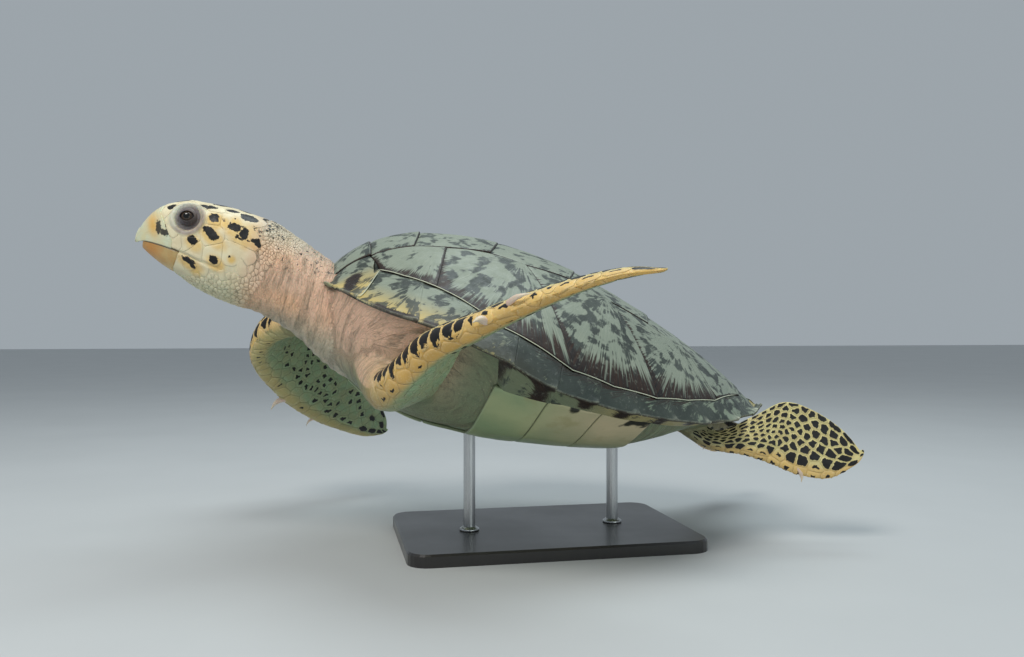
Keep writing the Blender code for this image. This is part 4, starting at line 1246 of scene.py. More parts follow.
def blade_tint(blade_name, s, share, side):
    """Ground colour of a flipper, which shows between its scales and under them, with green painted shade
    over the underside and the root.
    """
    upper = smooth_step(-0.3, 0.3, side)[..., None]
    lead = (1 - smooth_step(0.10, 0.26, share))[..., None]
    above = blend(LEMON * 0.95, AMBER, lead * 0.55)
    # Painted shade: the underside is a shaded green, amber towards the leading edge
    below = blend(UNDERSIDE_PAINTED_SHADE, AMBER, lead * (0.34 if blade_name == "front_right" else 0.80))
    root = (1 - smooth_step(0.16, 0.40, s))[..., None]
    # Painted shade at the root: olive below on the front flippers, and nearly all over on the rear ones
    bare = blend(ROOT_PAINTED_SHADE, FLESH, upper * (1.0 if blade_name.startswith("front") else 0.12))
    return blend(blend(below, above, upper), bare, root * 0.9)


# ---------------------------------------------------------------- one skin


def skin_finish():
    """Loose, finely creased skin: a net of shallow creases, dark flecks and soft colour, with painted shade
    in the creases and painted light on their crests.
    """
    f = Finish("turtle_skin", roughness=0.52, subsurface=0.12, gloss=0.35)
    tint = f.attribute("tint", "Color")
    dark = f.attribute("dark")
    fold = f.attribute("fold")
    flecks = f.attribute("flecks")
    cloud = f.noise(f.place, 30.0, detail=5.0)
    colour = f.mix(f.ramp(cloud, 0.3, 0.7, 0.0, 0.35), tint, f.mix(0.35, tint, (0.42, 0.28, 0.18)))
    lie = f.uv("lie")
    net = f.cells(f.mapped(lie, (1.0, 0.40, 1.0)), 330.0)
    crease = f.ramp(net, 0.0, 0.20)
    fine = f.cells(f.place, 520.0)
    wave = f.noise(f.mapped(lie, (1.0, 0.22, 1.0)), 210.0, detail=3.0, distortion=0.4)
    furrow = f.ramp(wave, 0.36, 0.52)
    relief = f.plus(f.times(crease, 0.7), f.times(f.ramp(fine, 0.0, 0.3), 0.18))
    relief = f.plus(relief, f.times(furrow, 0.8))
    # Painted shade: the colour darkens in the creases and furrows, by how much the skin folds
    pit = f.times(f.maths("SUBTRACT", 1.0, crease), 0.24)
    pit = f.plus(pit, f.times(f.maths("SUBTRACT", 1.0, furrow), 0.36))
    long_fold = f.noise(f.mapped(lie, (1.0, 0.16, 1.0)), 85.0, detail=2.5, distortion=0.5)
    long_fold = f.ramp(long_fold, 0.38, 0.50)
    pit = f.plus(pit, f.times(f.maths("SUBTRACT", 1.0, long_fold), 0.42))
    relief = f.plus(relief, f.times(long_fold, 1.3))
    painted_crease_shade = f.maths("MULTIPLY", pit, fold, clamp=True)
    colour = f.mix(painted_crease_shade, colour, f.mix(0.72, colour, (0.13, 0.12, 0.08)))
    # Painted light: the crests between the creases are paler
    crown = f.ramp(net, 0.28, 0.50, 0.0, 0.22)
    colour = f.mix(f.times(crown, fold), colour, (0.80, 0.66, 0.50))
    fleck = f.ramp(f.noise(f.place, 190.0, detail=2.0), 0.60, 0.66)
    colour = f.mix(f.times(fleck, flecks), colour, (0.045, 0.040, 0.035))
    ragged = f.swing(f.noise(f.place, 300.0, detail=3.0), 0.0026)
    spot = f.ramp(f.plus(dark, ragged), -0.0004, 0.0006)
    colour = f.mix(spot, colour, (0.014, 0.012, 0.010))
    normal = f.bump(f.times(relief, fold), 0.0010, 0.60)
    normal = f.bump(f.noise(f.place, 700.0, detail=2.0), 0.0003, 0.5, under=normal)
    return f.done(colour, f.ramp(cloud, 0.3, 0.7, 0.44, 0.58), normal)


LID_AROUND = 112
LID_RINGS = 30
LID_RADIUS = 0.0196
LID_SLANT = math.radians(-16)
LID_OPENING = (0.0096, 0.0070)
LID_DARK = np.array((0.048, 0.041, 0.052))
LID_GREY = np.array((0.165, 0.145, 0.160))
LID_PAINTED_LIGHT = np.array((0.50, 0.49, 0.42))


def eyelid(sign):
    """Lids round one eye: a wrinkled dome with an almond opening, thick at its edge."""
    along = unit(np.array([0.0, -1.0, 0.0]) - EYE_OUT * -EYE_OUT[1])
    up = np.cross(along, EYE_OUT)
    turn = turns_round(LID_AROUND)[0]
    c, s = np.cos(turn - LID_SLANT), np.sin(turn - LID_SLANT)
    opening = 1 / (np.abs(c / LID_OPENING[0]) ** 1.8 + np.abs(s / LID_OPENING[1]) ** 1.8) ** (1 / 1.8)
    rings, tints = [], []

    def ring(radius, height, tint):
        rings.append(np.stack(np.broadcast_arrays(radius, height, turn)))
        tints.append(np.broadcast_to(tint, (LID_AROUND, 3)))

    def over_ball(radius, room):
        return np.sqrt((EYE_RADIUS + room) ** 2 - radius**2)

    # The inner face and the thick edge of the lids
    ring(0.0025, 0.0080, LID_DARK * 0.4)
    ring(opening * 0.97, over_ball(opening * 0.97, -0.0006), LID_DARK * 0.30)
    ring(opening * 0.985, over_ball(opening, 0.0006), LID_DARK * 0.35)
    ring(opening + 0.0002, over_ball(opening, 0.0013), LID_DARK * 0.6)
    for k in range(1, LID_RINGS + 1):
        t = k / LID_RINGS
        radius = opening + 0.0006 + (LID_RADIUS - opening - 0.0006) * t
        shell = np.sqrt(np.maximum((EYE_RADIUS + 0.0015) ** 2 - radius**2, 0.0))
        shell = np.where(radius > 0.0120, np.maximum(shell - 320 * (radius - 0.0120) ** 2, 0), shell)
        dome = np.maximum(shell, 0.0050 + 0.0006 * np.cos(np.clip((radius - 0.013) / 0.0066, 0, 1) * np.pi))
        sway = 0.00035 * np.sin(3 * turn + 1.1) + 0.00025 * np.sin(7 * turn)
        crease = np.sin(2 * np.pi * (radius + sway - opening) / 0.00175)
        radial = np.sin(turn * 26 + 9 * t) * 0.35
        height = dome + (0.00026 * crease + 0.00012 * radial) * min(k / 3, 1)
        if k == LID_RINGS:
            height = height - 0.0012
        # Painted light and shade: the dark of the lids lies low and to the rear, and in front and above,
        # where light falls, they pale into the rim
        far = np.hypot(radius * np.cos(turn) + 0.0038, radius * np.sin(turn) + 0.0028)[:, None]
        tone = blend(LID_DARK, LID_GREY, smooth_step(0.0070, 0.0150, far))
        tone = blend(tone, LID_PAINTED_LIGHT, smooth_step(0.0150, 0.0215, far) * 0.9)
        # Painted shade: the lids are a little darker in the troughs of their creases
        ring(radius, height, tone * (0.90 + 0.10 * crease[:, None]))
    ring(0.0190, -0.0005, tone)
    radius, height, turns = (np.array(rings)[:, k, :, None] for k in range(3))
    grid = EYE_AT + radius * (np.cos(turns) * along + np.sin(turns) * up) + height * EYE_OUT
    grid = grid * (sign, 1, 1)
    return grid, np.array(tints) * (1 + 0.25 * lattice_noise(grid, 0.0022, 61)[..., None])


def trunk_grid():
    """The body's own skin, which shows in the pockets round the flippers and under the tail."""
    half = 46
    rings = []
    spans = ((0.028, 0.16, 22), (0.17, 0.74, 44), (0.75, 0.982, 30))
    for u in np.concatenate([np.linspace(*span) for span in spans]):
        width = float(outline(u)) * (0.955 + 0.025 * smooth_step(0.34, 0.26, u))
        side = width * np.sin(np.linspace(-np.pi / 2, np.pi / 2, half))
        flat = np.full(half, u)
        top = crown(side, flat) - 0.0034
        low = belly(side, flat) + 0.0020
        # The soft shoulder swells below the front of the rim
        share = np.abs(side) / float(outline(u))
        swell = smooth_step(0.02, 0.08, u) * smooth_step(0.34, 0.26, u)
        depth = 0.0035 + 0.008 * smooth_step(0.95, 0.80, share)
        low = low - depth * swell * smooth_step(0.40, 0.60, share)
        low = np.minimum(low, top - 0.0012)
        # Crowd the edges together so that the skin stays inside the marginal plates
        pinch = smooth_step(0.84, 1.0, np.abs(side) / width) ** 0.8 * 0.75
        middle = (top + low) / 2
        height = np.concatenate([blend(top, middle, pinch)[::-1], blend(low, middle, pinch)])
        y = np.full(2 * half, (u - 0.5) * SHELL_LENGTH)
        rings.append(np.stack([np.concatenate([side[::-1], side]), y, height], axis=-1))
    return np.array(rings)


AXILLA = np.array((0.185, -0.185, -0.045))
TRUNK_PAINTED_SHADE = np.array((0.20, 0.255, 0.15))
TRUNK_ROSE = np.array((0.81, 0.52, 0.37))
TAIL_TINT = np.array((0.42, 0.38, 0.24))
TAIL_ROOT, TAIL_END, TAIL_RADIUS = np.array((0, 0.262, -0.010)), np.array((0, 0.350, -0.003)), 0.0165


def tail_grid():
    rings = []
    turn = turns_round(56)[0][:, None]
    for t in np.linspace(0, 1, 44):
        centre = TAIL_ROOT + (TAIL_END - TAIL_ROOT) * t - np.array((0, 0, 0.004 * math.sin(math.pi * t)))
        radius = TAIL_RADIUS * np.interp(t, (0, 0.35, 0.7, 0.92, 1.0), (1.0, 0.86, 0.52, 0.26, 0.07))
        ripple = 1 + 0.035 * math.sin(t * 2 * math.pi * 13) + 0.02 * np.sin(5 * turn + 8 * t)
        round_it = np.cos(turn) * np.array((1.0, 0, 0)) + np.sin(turn) * np.array((0, 0.05, 1.0))
        rings.append(centre + radius * ripple * round_it)
    return np.array(rings)


def flesh_loft(grid, tint, dark, fold, flecks, lie):
    """A loft of flesh with what each of its points carries; a plain number holds all over it."""
    carried = {"dark": dark, "fold": fold, "flecks": flecks}
    loft = {key: np.broadcast_to(values, grid.shape[:2]).ravel() for key, values in carried.items()}
    loft["points"] = to_world(grid.reshape(-1, 3))
    loft["faces"] = tube_faces(*grid.shape[:2])
    loft["tint"] = np.broadcast_to(tint, grid.shape).reshape(-1, 3)
    loft["lie"] = lie.reshape(-1, 2)
    return loft


def smoothed(points, edges, weights, turns):
    """Points drawn towards their neighbours, by weight."""
    count = np.bincount(edges.ravel(), minlength=len(points))[:, None]
    for _ in range(turns):
        total = np.zeros_like(points)
        for axis in range(3):
            total[:, axis] = np.bincount(edges[:, 0], points[edges[:, 1], axis], len(points))
            total[:, axis] += np.bincount(edges[:, 1], points[edges[:, 0], axis], len(points))
        points = points + weights[:, None] * (total / np.maximum(count, 1) - points)
    return points


def skin_lofts():
    """The lofts that the skin is grown from, the trunk first."""
    grid = trunk_grid()
    # Wrinkles run in rings round the pit behind each front flipper
    pit = both_sides(grid) - AXILLA
    lie = np.stack([np.linalg.norm(pit, axis=-1), np.arctan2(pit[..., 2], pit[..., 1]) * 0.10], axis=-1)
    # Painted shade: the trunk's dark green, for the shaded pockets round the flippers
    tint = TRUNK_PAINTED_SHADE * (1 + 0.10 * lattice_noise(grid, 0.03, 44)[..., None])
    rosy = smooth_step(-0.13, -0.22, grid[..., 1:2]) * smooth_step(-0.075, -0.020, grid[..., 2:3])
    lofts = [flesh_loft(grid, blend(tint, TRUNK_ROSE, rosy), -0.03, 1.0, 0.15, lie)]

    grid = HEAD_SURFACE.grid
    rows, turns = np.meshgrid(HEAD_ROWS, HEAD_TURNS, indexing="ij")
    neck = smooth_step(-0.476, -0.446, rows)
    nape = smooth_step(0.030, 0.075, grid[..., 2]) * neck
    throat = smooth_step(-0.56, -0.52, rows) * smooth_step(0.004, -0.010, grid[..., 2])
    dark = head_dark(grid) - 0.03 * smooth_step(-0.476, -0.466, rows)
    fold = np.clip(0.12 + neck + 0.6 * throat, 0, 1)
    flecks = np.clip(nape + 0.12 * neck, 0, 1)
    lie = np.stack([rows, from_crown(turns) * 0.070], axis=-1)
    lofts.append(flesh_loft(grid, head_tint(grid), dark, fold, flecks, lie))

    for name, blade in BLADES.items():
        fold = np.clip(0.15 + 1 - smooth_step(0.20, 0.42, blade.s), 0, 1)
        across = blade.w[None, :] * np.full(blade.s.shape, 0.12)
        lie = np.stack([blade.s * blade.lengths[-1], across], axis=-1)
        tint = blade_tint(name, blade.s, blade.share, blade.side)
        lofts.append(flesh_loft(blade.surface.grid, tint, -0.03, fold, 0.10, lie))

    grid = tail_grid()
    dark = lattice_noise(grid, 0.009, 47) * 0.004 - 0.0012 + 0.003 * smooth_step(-0.01, 0.0, grid[..., 2])
    lofts.append(flesh_loft(grid, TAIL_TINT, dark, 0.9, 0.3, grid[..., 1::-1]))
    return lofts


def outward_faces(obj):
    """The faces of an object that is only a step on the way, and is taken away."""
    faces = [tuple(face.vertices) for face in obj.data.polygons]
    bpy.data.objects.remove(obj)
    return faces


def make_skin():
    """Every part of flesh grown into one skin and smoothed where limbs meet the body."""
    finish = skin_finish()
    lofts = skin_lofts()
    solids = []
    for number, loft in enumerate(lofts):
        solids.append(new_mesh(f"flesh_{number}", loft["points"], loft["faces"], finish))
        face_out(solids[-1])
    skin, others = solids[0], solids[1:]
    for other in others:
        union = skin.modifiers.new("grow " + other.name, "BOOLEAN")
        union.operation = "UNION"
        union.solver = "EXACT"
        union.object = other
    apply_modifiers(skin)
    for other in others:
        bpy.data.objects.remove(other)
    points = np.array([v.co for v in skin.data.vertices])
    edges = np.array([e.vertices[:] for e in skin.data.edges])
    # Every point of the skin takes what the nearest point of the lofts carries
    owner = np.concatenate([np.full(len(loft["points"]), number) for number, loft in enumerate(lofts)])
    tree = kdtree.KDTree(len(owner))
    for number, place in enumerate(joined(lofts, "points", 3)):
        tree.insert(place, number)
    tree.balance()
    nearest = np.array([tree.find(place)[1] for place in points])
    own = owner[nearest]
    # Soften the skin near every join between two lofts
    join = np.zeros(len(points))
    join[np.unique(edges[own[edges[:, 0]] != own[edges[:, 1]]])] = 1.0
    for _ in range(9):
        spreading = join.copy()
        np.maximum.at(spreading, edges[:, 0], join[edges[:, 1]] * 0.86)
        np.maximum.at(spreading, edges[:, 1], join[edges[:, 0]] * 0.86)
        join = spreading
    whole = {key: joined(lofts, key)[nearest] for key in ("dark", "fold", "flecks")}
    whole["lie"] = joined(lofts, "lie", 2)[nearest]
    whole["tint"] = smoothed(joined(lofts, "tint", 3)[nearest], edges, 0.5 * join, 14)
    whole["points"] = smoothed(points, edges, 0.55 * join, 26)
    whole["faces"] = outward_faces(skin)
    parts = [whole]
    for sign in (1, -1):
        grid, tint = eyelid(sign)
        rows, turns = np.meshgrid(*(np.arange(n) for n in grid.shape[:2]), indexing="ij")
        lid = flesh_loft(grid, tint, -0.02, 0.35, 0.0, np.stack([rows * 0.0006, turns * 0.0009], axis=-1))
        lid_mesh = new_mesh("lid", lid["points"], lid["faces"], finish)
        face_out(lid_mesh)
        lid["faces"] = outward_faces(lid_mesh)
        parts.append(lid)
    faces = shifted_faces([(part["points"], part["faces"]) for part in parts])
    floats = {key: joined(parts, key) for key in ("dark", "fold", "flecks")}
    colours, maps = {"tint": joined(parts, "tint", 3)}, {"lie": joined(parts, "lie", 2)}
    looks = {"colours": colours, "floats": floats, "maps": maps}
    made = new_mesh("turtle_skin", joined(parts, "points", 3), faces, finish, **looks)
    flippers = [f"{end}_flipper_{side}" for end in ("front", "rear") for side in ("left", "right")]
    finished(made, "skin", "head", "neck", "trunk", "tail", *flippers)


make_skin()


# ---------------------------------------------------------------- scales over the skin


def scale_finish():
    """Smooth horny scales: a dark heart with a ragged edge inside a pale border."""
    f = Finish("turtle_scales", roughness=0.42, coat=0.04, coat_roughness=0.25, gloss=0.28)
    tint = f.attribute("tint", "Color")
    dark = f.attribute("dark")
    edge = f.attribute("edge")
    cloud = f.noise(f.place, 60.0, detail=4.0)
    colour = f.mix(f.ramp(cloud, 0.35, 0.65, 0.0, 0.40), tint, f.mix(0.5, tint, (0.50, 0.30, 0.12)))
    dust = f.ramp(f.noise(f.place, 400.0, detail=2.0), 0.5, 0.8, 0.0, 0.25)
    colour = f.mix(dust, colour, (0.85, 0.80, 0.62))
    ragged = f.swing(f.noise(f.place, 210.0, detail=3.0), 0.0052)
    fringe = f.swing(f.noise(f.place, 700.0, detail=2.0), 0.0016)
    spot = f.plus(f.plus(dark, ragged), fringe)
    ink = f.mix(cloud, (0.007, 0.008, 0.009), (0.020, 0.018, 0.018))
    colour = f.mix(f.ramp(spot, -0.0003, 0.0005), colour, ink)
    colour = f.mix(f.ramp(edge, 0.0, 0.0005, 0.45, 0.0), colour, f.mix(0.6, colour, (0.30, 0.27, 0.20)))
    relief = f.plus(f.noise(f.place, 320.0, detail=4.0), f.times(cloud, 0.8))
    normal = f.bump(relief, 0.0004, 0.6)
    return f.done(colour, f.ramp(cloud, 0.3, 0.7, 0.32, 0.46), normal)


SCALES = scale_finish()


def cell_reach(seeds, others, count, gap, walls=(), corner=16.0, longest=0.05):
    """How far each scale reaches from its seed at even turns: half way to its neighbours, less a gap.

    walls are lines of points that no scale may cross, each with the room to leave before it.
    """
    near = 14
    away = others[None, :, :] - seeds[:, None, :]
    far = np.linalg.norm(away, axis=-1)
    far[far < 1e-9] = 1e9
    nearest = np.argpartition(far, near, axis=1)[:, :near]
    rows = np.arange(len(seeds))
    far = far[rows[:, None], nearest]
    ways = away[rows[:, None], nearest] / far[..., None]
    limits = far / 2 - gap / 2
    for line, room in walls:
        away = np.asarray(line)[None, :, :] - seeds[:, None, :]
        far = np.linalg.norm(away, axis=-1)
        closest = np.argmin(far, axis=1)
        far = far[rows, closest]
        ways = np.concatenate([ways, (away[rows, closest] / far[:, None])[:, None]], axis=1)
        limits = np.concatenate([limits, (far - room)[:, None]], axis=1)
    towards = np.maximum(ways @ turns_round(count)[1].T, 0) / np.maximum(limits, 0.0003)[..., None]
    return np.minimum(np.maximum((towards**corner).sum(axis=1), 1e-12) ** (-1 / corner), longest)


def spread_seeds(fixed, candidates, size_at, closeness=0.84):
    """The candidates that stand no closer to each other, or to the fixed seeds, than their sizes allow."""
    kept = np.zeros((len(fixed) + len(candidates), 2))
    sizes = np.zeros(len(kept))
    count = len(fixed)
    kept[:count] = fixed
    sizes[:count] = size_at(kept[:count]) if count else ()
    wanted = size_at(candidates)
    for point, size in zip(candidates, wanted):
        gap = np.linalg.norm(kept[:count] - point, axis=1)
        if count == 0 or (gap > closeness * (sizes[:count] + size) / 2).all():
            kept[count], sizes[count] = point, size
            count += 1
    return kept[:count]


class ScaleCoat:
    """Scales laid over a surface, gathered into one piece.

    place carries plane points and heights to the turtle. The plane, from corner and span wide,
    is the unwrap that the scales' own map keeps.
    """

    def __init__(self, name, place, span, corner):
        self.name = name
        self.place = place
        self.span = span
        self.corner = np.asarray(corner, float)
        self.laid = []

    def lay(self, seeds, reach, thick, shades, bevel, inner, sink=0.0009):
        """Adds a scale at each seed. shades gives (tint, dark) for points, plane places and edge depths."""
        number, around = reach.shape
        heading = turns_round(around)[1]
        thick = np.broadcast_to(thick, (number,))[:, None] + 0 * reach
        bevel = np.minimum(bevel, 0.35 * reach)
        rings = [(reach, -sink + 0 * reach), (reach * 0.997, 0.30 * thick)]
        rings += [(reach - 0.35 * bevel, 0.80 * thick), (reach - bevel, thick)]
        rings += [((reach - bevel) * share, thick * (1 + 0.35 * (1 - share**2))) for share in inner]
        ring_reach, height = (np.stack(part, axis=1) for part in zip(*rings))
        flat = seeds[:, None, None, :] + ring_reach[..., None] * heading
        flat = np.concatenate([flat.reshape(number, -1, 2), seeds[:, None]], axis=1)
        height = np.concatenate([height.reshape(number, -1), thick[:, :1] * 1.35], axis=1)
        edge = (reach[:, None, :] - ring_reach).reshape(number, -1)
        edge = np.concatenate([edge, reach.mean(axis=1, keepdims=True)], axis=1)
        points = self.place(flat[..., 0], flat[..., 1], height)
        tint, dark = shades(points, flat, edge)
        k = np.arange(around)
        nxt = (k + 1) % around
        last = (len(rings) - 1) * around
        quads = grid_faces(len(rings), around, closed=True)
        fan = np.stack([last + k, last + nxt, np.full(around, last + around)], axis=-1)
        cap = k[::-1][None]
        top = points[:, last : last + around]
        normal = np.cross(np.roll(top, -1, axis=1) - top, points[:, -1:] - top).sum(axis=1)
        if (normal * (points[:, -1] - points[:, :around].mean(axis=1))).sum() < 0:
            quads, fan, cap = quads[:, ::-1], fan[:, ::-1], cap[:, ::-1]
        uv = (flat - self.corner) / self.span
        starts = sum(len(part["points"]) for part in self.laid) + (last + around + 1) * np.arange(number)
        faces, corners = [], []
        for kind in (quads, fan, cap):
            faces += (starts[:, None, None] + kind[None]).reshape(-1, kind.shape[1]).tolist()
            shown = uv[:, kind.ravel()].reshape(number, *kind.shape, 2)
            if kind is cap:
                # The hidden underside takes a dot at the scale's own border
                shown = uv[:, None, :1, :] + 1e-5 * heading[None, None]
            corners.append(shown.reshape(-1, 2))
        part = {"points": points.reshape(-1, 3), "tint": tint.reshape(-1, 3), "dark": dark.ravel()}
        self.laid.append({**part, "edge": edge.ravel(), "faces": faces, "corners": np.concatenate(corners)})

    def finish(self):
        faces = [tuple(face) for part in self.laid for face in part["faces"]]
        colours = {"tint": joined(self.laid, "tint", 3)}
        floats = {key: joined(self.laid, key) for key in ("dark", "edge")}
        maps = {"OFBake": joined(self.laid, "corners", 2)}
        looks = {"colours": colours, "floats": floats, "maps": maps}
        made = new_mesh(self.name, to_world(joined(self.laid, "points", 3)), faces, SCALES, **looks)
        finished(made, "skin")


# ---------------------------------------------------------------- flipper scales

BLADE_SPAN = 0.11
LEAD_ROW = -0.0120
BARRED_ROW = 0.0095
NO_HEART = 1.0


def blade_coat(name, start, sizes, lead_step, seed):
    """Scales of one flipper, large along its leading edge and smallest at the root.

    Its plane runs from the root along x, and to both sides of the leading edge along v, which is
    above zero on the upper side.
    """
    blade = BLADES[name]
    front = name.startswith("front")
    whole = blade.lengths[blade.rows - 1]
    rows = np.arange(len(blade.lengths))

    def place(x, v, height):
        row = np.interp(x, blade.lengths, rows)
        share = np.clip(np.abs(v) / BLADE_SPAN, 0, 1)
        column = (np.sign(v) * share ** (1 / BLADE_CROWD) + 1) / 2 * (len(blade.w) - 1)
        return blade.surface.at(row, column, height)

    def shape_at(flat):
        chord = np.interp(flat[..., 0], blade.lengths, blade.chord)
        return flat[..., 0] / whole, np.abs(flat[..., 1]) / BLADE_SPAN, chord

    def size_at(flat):
        s, share, chord = shape_at(flat)
        size = np.interp(s, (start / whole, 0.5, 0.72, 1.0), (*sizes, sizes[-1]))
        across = (1.9, 1.6, 1.35, 0.86, 0.90, 1.15)
        size = size * np.interp(share, (0.0, 0.08, 0.22, 0.45, 0.75, 1.0), across)
        return size / np.sqrt(np.clip(chord / BLADE_SPAN, 0.35, 1.3))

    rng = np.random.default_rng(seed)
    lead = np.arange(start * 0.96, whole * 0.985, lead_step)
    fixed = np.stack([lead, (LEAD_ROW if front else 0.0025) + 0 * lead], axis=-1)
    if front:
        # The row above the leading edge, of narrow dark scales
        second = np.arange(start * 0.96, whole * 0.66, lead_step * 0.62)
        fixed = np.concatenate([fixed, np.stack([second, BARRED_ROW + 0 * second], axis=-1)])
    low, high = (start * 0.86, -BLADE_SPAN * 0.985), (whole * 0.985, BLADE_SPAN * 0.985)
    seeds = spread_seeds(fixed, rng.uniform(low, high, (9000, 2)), size_at)
    for _ in range(3):
        # Draw each seed to the middle of the room its scale has
        reach = cell_reach(seeds, seeds, 24, 0.0, corner=12.0)
        pull = (reach[..., None] ** 3 * turns_round(24)[1]).sum(axis=1)
        drift = pull / (reach**2).sum(axis=1, keepdims=True)
        drift = np.clip(drift * 0.5, -0.004, 0.004)
        drift[: len(fixed)] *= 0.15
        seeds = seeds + drift
        seeds[:, 1] = np.clip(seeds[:, 1], -BLADE_SPAN * 0.97, BLADE_SPAN * 0.97)
    rim = np.stack([np.linspace(0, whole * 1.1, 700), np.full(700, BLADE_SPAN * 0.999)], axis=-1)
    end = np.stack([np.full(200, whole * 1.015), np.linspace(-BLADE_SPAN, BLADE_SPAN, 200)], axis=-1)
    walls = [(rim, 0.0), (rim * (1, -1), 0.0), (end, 0.0)]
    reach = cell_reach(seeds, seeds, 18, 0.0007, walls, longest=0.0175)
    shown = seeds[:, 0] > start
    seeds, reach = seeds[shown], reach[shown]
    s, share, chord = shape_at(seeds)
    upper = seeds[:, 1] > 0
    mean_reach = reach.mean(axis=1)
    draw = rng.uniform(0, 1, len(seeds))
    # How wide the pale border of each scale is round its dark heart; a wide one leaves no heart
    border = np.where(upper, 0.0014 + 0.0006 * draw, NO_HEART)
    patch = smooth_step(0.42, 0.56, s) * smooth_step(0.92, 0.78, s)
    patch = patch * smooth_step(0.20, 0.32, share) * smooth_step(0.90, 0.75, share)
    near_tip = smooth_step(0.84, 0.90, s)
    spotted = ~upper & (draw < patch * (0.66 if front else 0.85) + 0.4 * near_tip * (share > 0.2))
    border = np.where(spotted, mean_reach * (0.52 - 0.35 * near_tip), border)
    if front:
        lead_row = np.abs(seeds[:, 1] - LEAD_ROW) < 0.005
        border = np.where(lead_row, np.where(draw < 0.35, mean_reach * 0.80, NO_HEART), border)
        border = np.where(upper & (share < 0.15), np.where(s < 0.60, 0.0012, mean_reach * 0.62), border)
    else:
        lead_row = share < 0.055
        border = np.where((upper & (share < 0.20) & (s < 0.80)) | lead_row, mean_reach * 0.66, border)
        border = np.where(~upper & ~spotted & (draw < 0.4), mean_reach * 0.5, border)
    tone = rng.uniform(-1, 1, len(seeds))

    def shades(_, flat, edge):
        s_at, share_at, _ = shape_at(flat)
        side = np.where(flat[..., 1] > 0, 1.0, -1.0)
        tint = blade_tint(name, s_at, share_at, side * smooth_step(0, 0.03, share_at))
        tint = tint * (1 + 0.07 * tone[:, None, None])
        tint = blend(tint, (0.74, 0.72, 0.52), smooth_step(0.0020, 0.0, edge)[..., None] * 0.16)
        return tint, np.clip(edge - border[:, None], -0.02, 0.02)

    coat = ScaleCoat(f"scales_{name}", place, whole * 1.12, (0.0, -BLADE_SPAN * 1.05))
    fade = np.interp(seeds[:, 0] - start, (0, 0.06), (0.45, 1.0)) * np.clip(chord / 0.06, 0.5, 1)
    coat.lay(seeds, reach, 0.0010 * fade, shades, bevel=0.0008, inner=(0.72, 0.40))
    coat.finish()


def make_blade_coats():
    blade_coat("front_left", 0.150, (0.0085, 0.0115, 0.0150), 0.027, 5)
    blade_coat("front_right", 0.190, (0.0080, 0.0110, 0.0150), 0.027, 6)
    blade_coat("rear_left", 0.060, (0.0070, 0.0088, 0.0135), 0.021, 7)
    blade_coat("rear_right", 0.060, (0.0070, 0.0088, 0.0135), 0.021, 8)


make_blade_coats()


# ---------------------------------------------------------------- head shields and granules


def head_place(y, arc, height):
    """A point over the head's skin, from y and the arc round it from the middle of its left side."""
    row = np.interp(y, HEAD_ROWS, np.arange(len(HEAD_ROWS)))
    return HEAD_SURFACE.at(row, arc / HEAD_ROUND / (2 * np.pi) * HEAD_AROUND, height)


def head_turn(y, z):
    """The turn round the head at which its left side is at height z."""
    top, bottom = (np.interp(y, NECK_TABLE[:, 0], NECK_TABLE[:, k]) for k in (1, 2))
    share = np.clip((z - (top + bottom) / 2) / ((top - bottom) / 2), -1, 1)
    return np.arcsin(np.sign(share) * np.abs(share) ** 1.15)


def other_side(seeds):
    """The seeds with their mirror images across the head's midline."""
    return np.concatenate([seeds, np.stack([seeds[:, 0], np.pi * HEAD_ROUND - seeds[:, 1]], axis=-1)])


# Shields on each side of the head, by y and height, then those on its top, by y and turn in degrees
SIDE_SHIELDS = (
    (-0.5850, 0.0770), (-0.5705, 0.0440), (-0.5430, 0.0450), (-0.5165, 0.0610), (-0.5215, 0.0860),
    (-0.4825, 0.0735), (-0.5010, 0.0880), (-0.4545, 0.0665), (-0.4820, 0.0440), (-0.5080, 0.0315),
    (-0.5620, 0.0340), (-0.5330, 0.0290), (-0.4560, 0.0440), (-0.4620, 0.0230),
    (-0.5360, 0.0130), (-0.5120, 0.0080), (-0.4880, 0.0100), (-0.5530, 0.0080),
)
TOP_SHIELDS = (
    (-0.5850, 74), (-0.5650, 66), (-0.5450, 62), (-0.5230, 66), (-0.4985, 70), (-0.4770, 64), (-0.4560, 66),
)
MIDDLE_SHIELDS = (-0.5700, -0.5430, -0.5160, -0.4860, -0.4580)


def shield_seeds():
    side = [(y, float(head_turn(y, z)) * HEAD_ROUND) for y, z in SIDE_SHIELDS]
    top = [(y, math.radians(turn) * HEAD_ROUND) for y, turn in TOP_SHIELDS]
    middle = [(y, math.pi / 2 * HEAD_ROUND) for y in MIDDLE_SHIELDS]
    return np.concatenate([other_side(np.array(side + top)), np.array(middle)])


def head_walls():
    """The rims of the orbits, the gape and the rear edges of the bill, on the head's own plane."""

    def side_line(y, z):
        return np.stack([y, head_turn(y, z) * HEAD_ROUND], axis=-1)

    turn = np.linspace(0, 2 * np.pi, 90)
    orbit_arc = float(head_turn(EYE_AT[1], ORBIT_AT[2])) * HEAD_ROUND
    orbit = np.stack([EYE_AT[1] + 0.0245 * np.cos(turn), orbit_arc + 0.0262 * np.sin(turn)], axis=-1)
    y = np.linspace(-0.615, -0.492, 60)
    high, low = np.linspace(0.0276, 0.1000, 60), np.linspace(-0.020, 0.0276, 40)
    lines = (
        (orbit, 0.0),
        (side_line(y, mouth_height(y)), 0.0011),
        (side_line(np.interp(high, UPPER_EDGE_Z, UPPER_EDGE_Y), high), 0.0007),
        (side_line(np.interp(low, LOWER_EDGE_Z, LOWER_EDGE_Y), low), 0.0007),
    )
    return [(other_side(line), room) for line, room in lines]


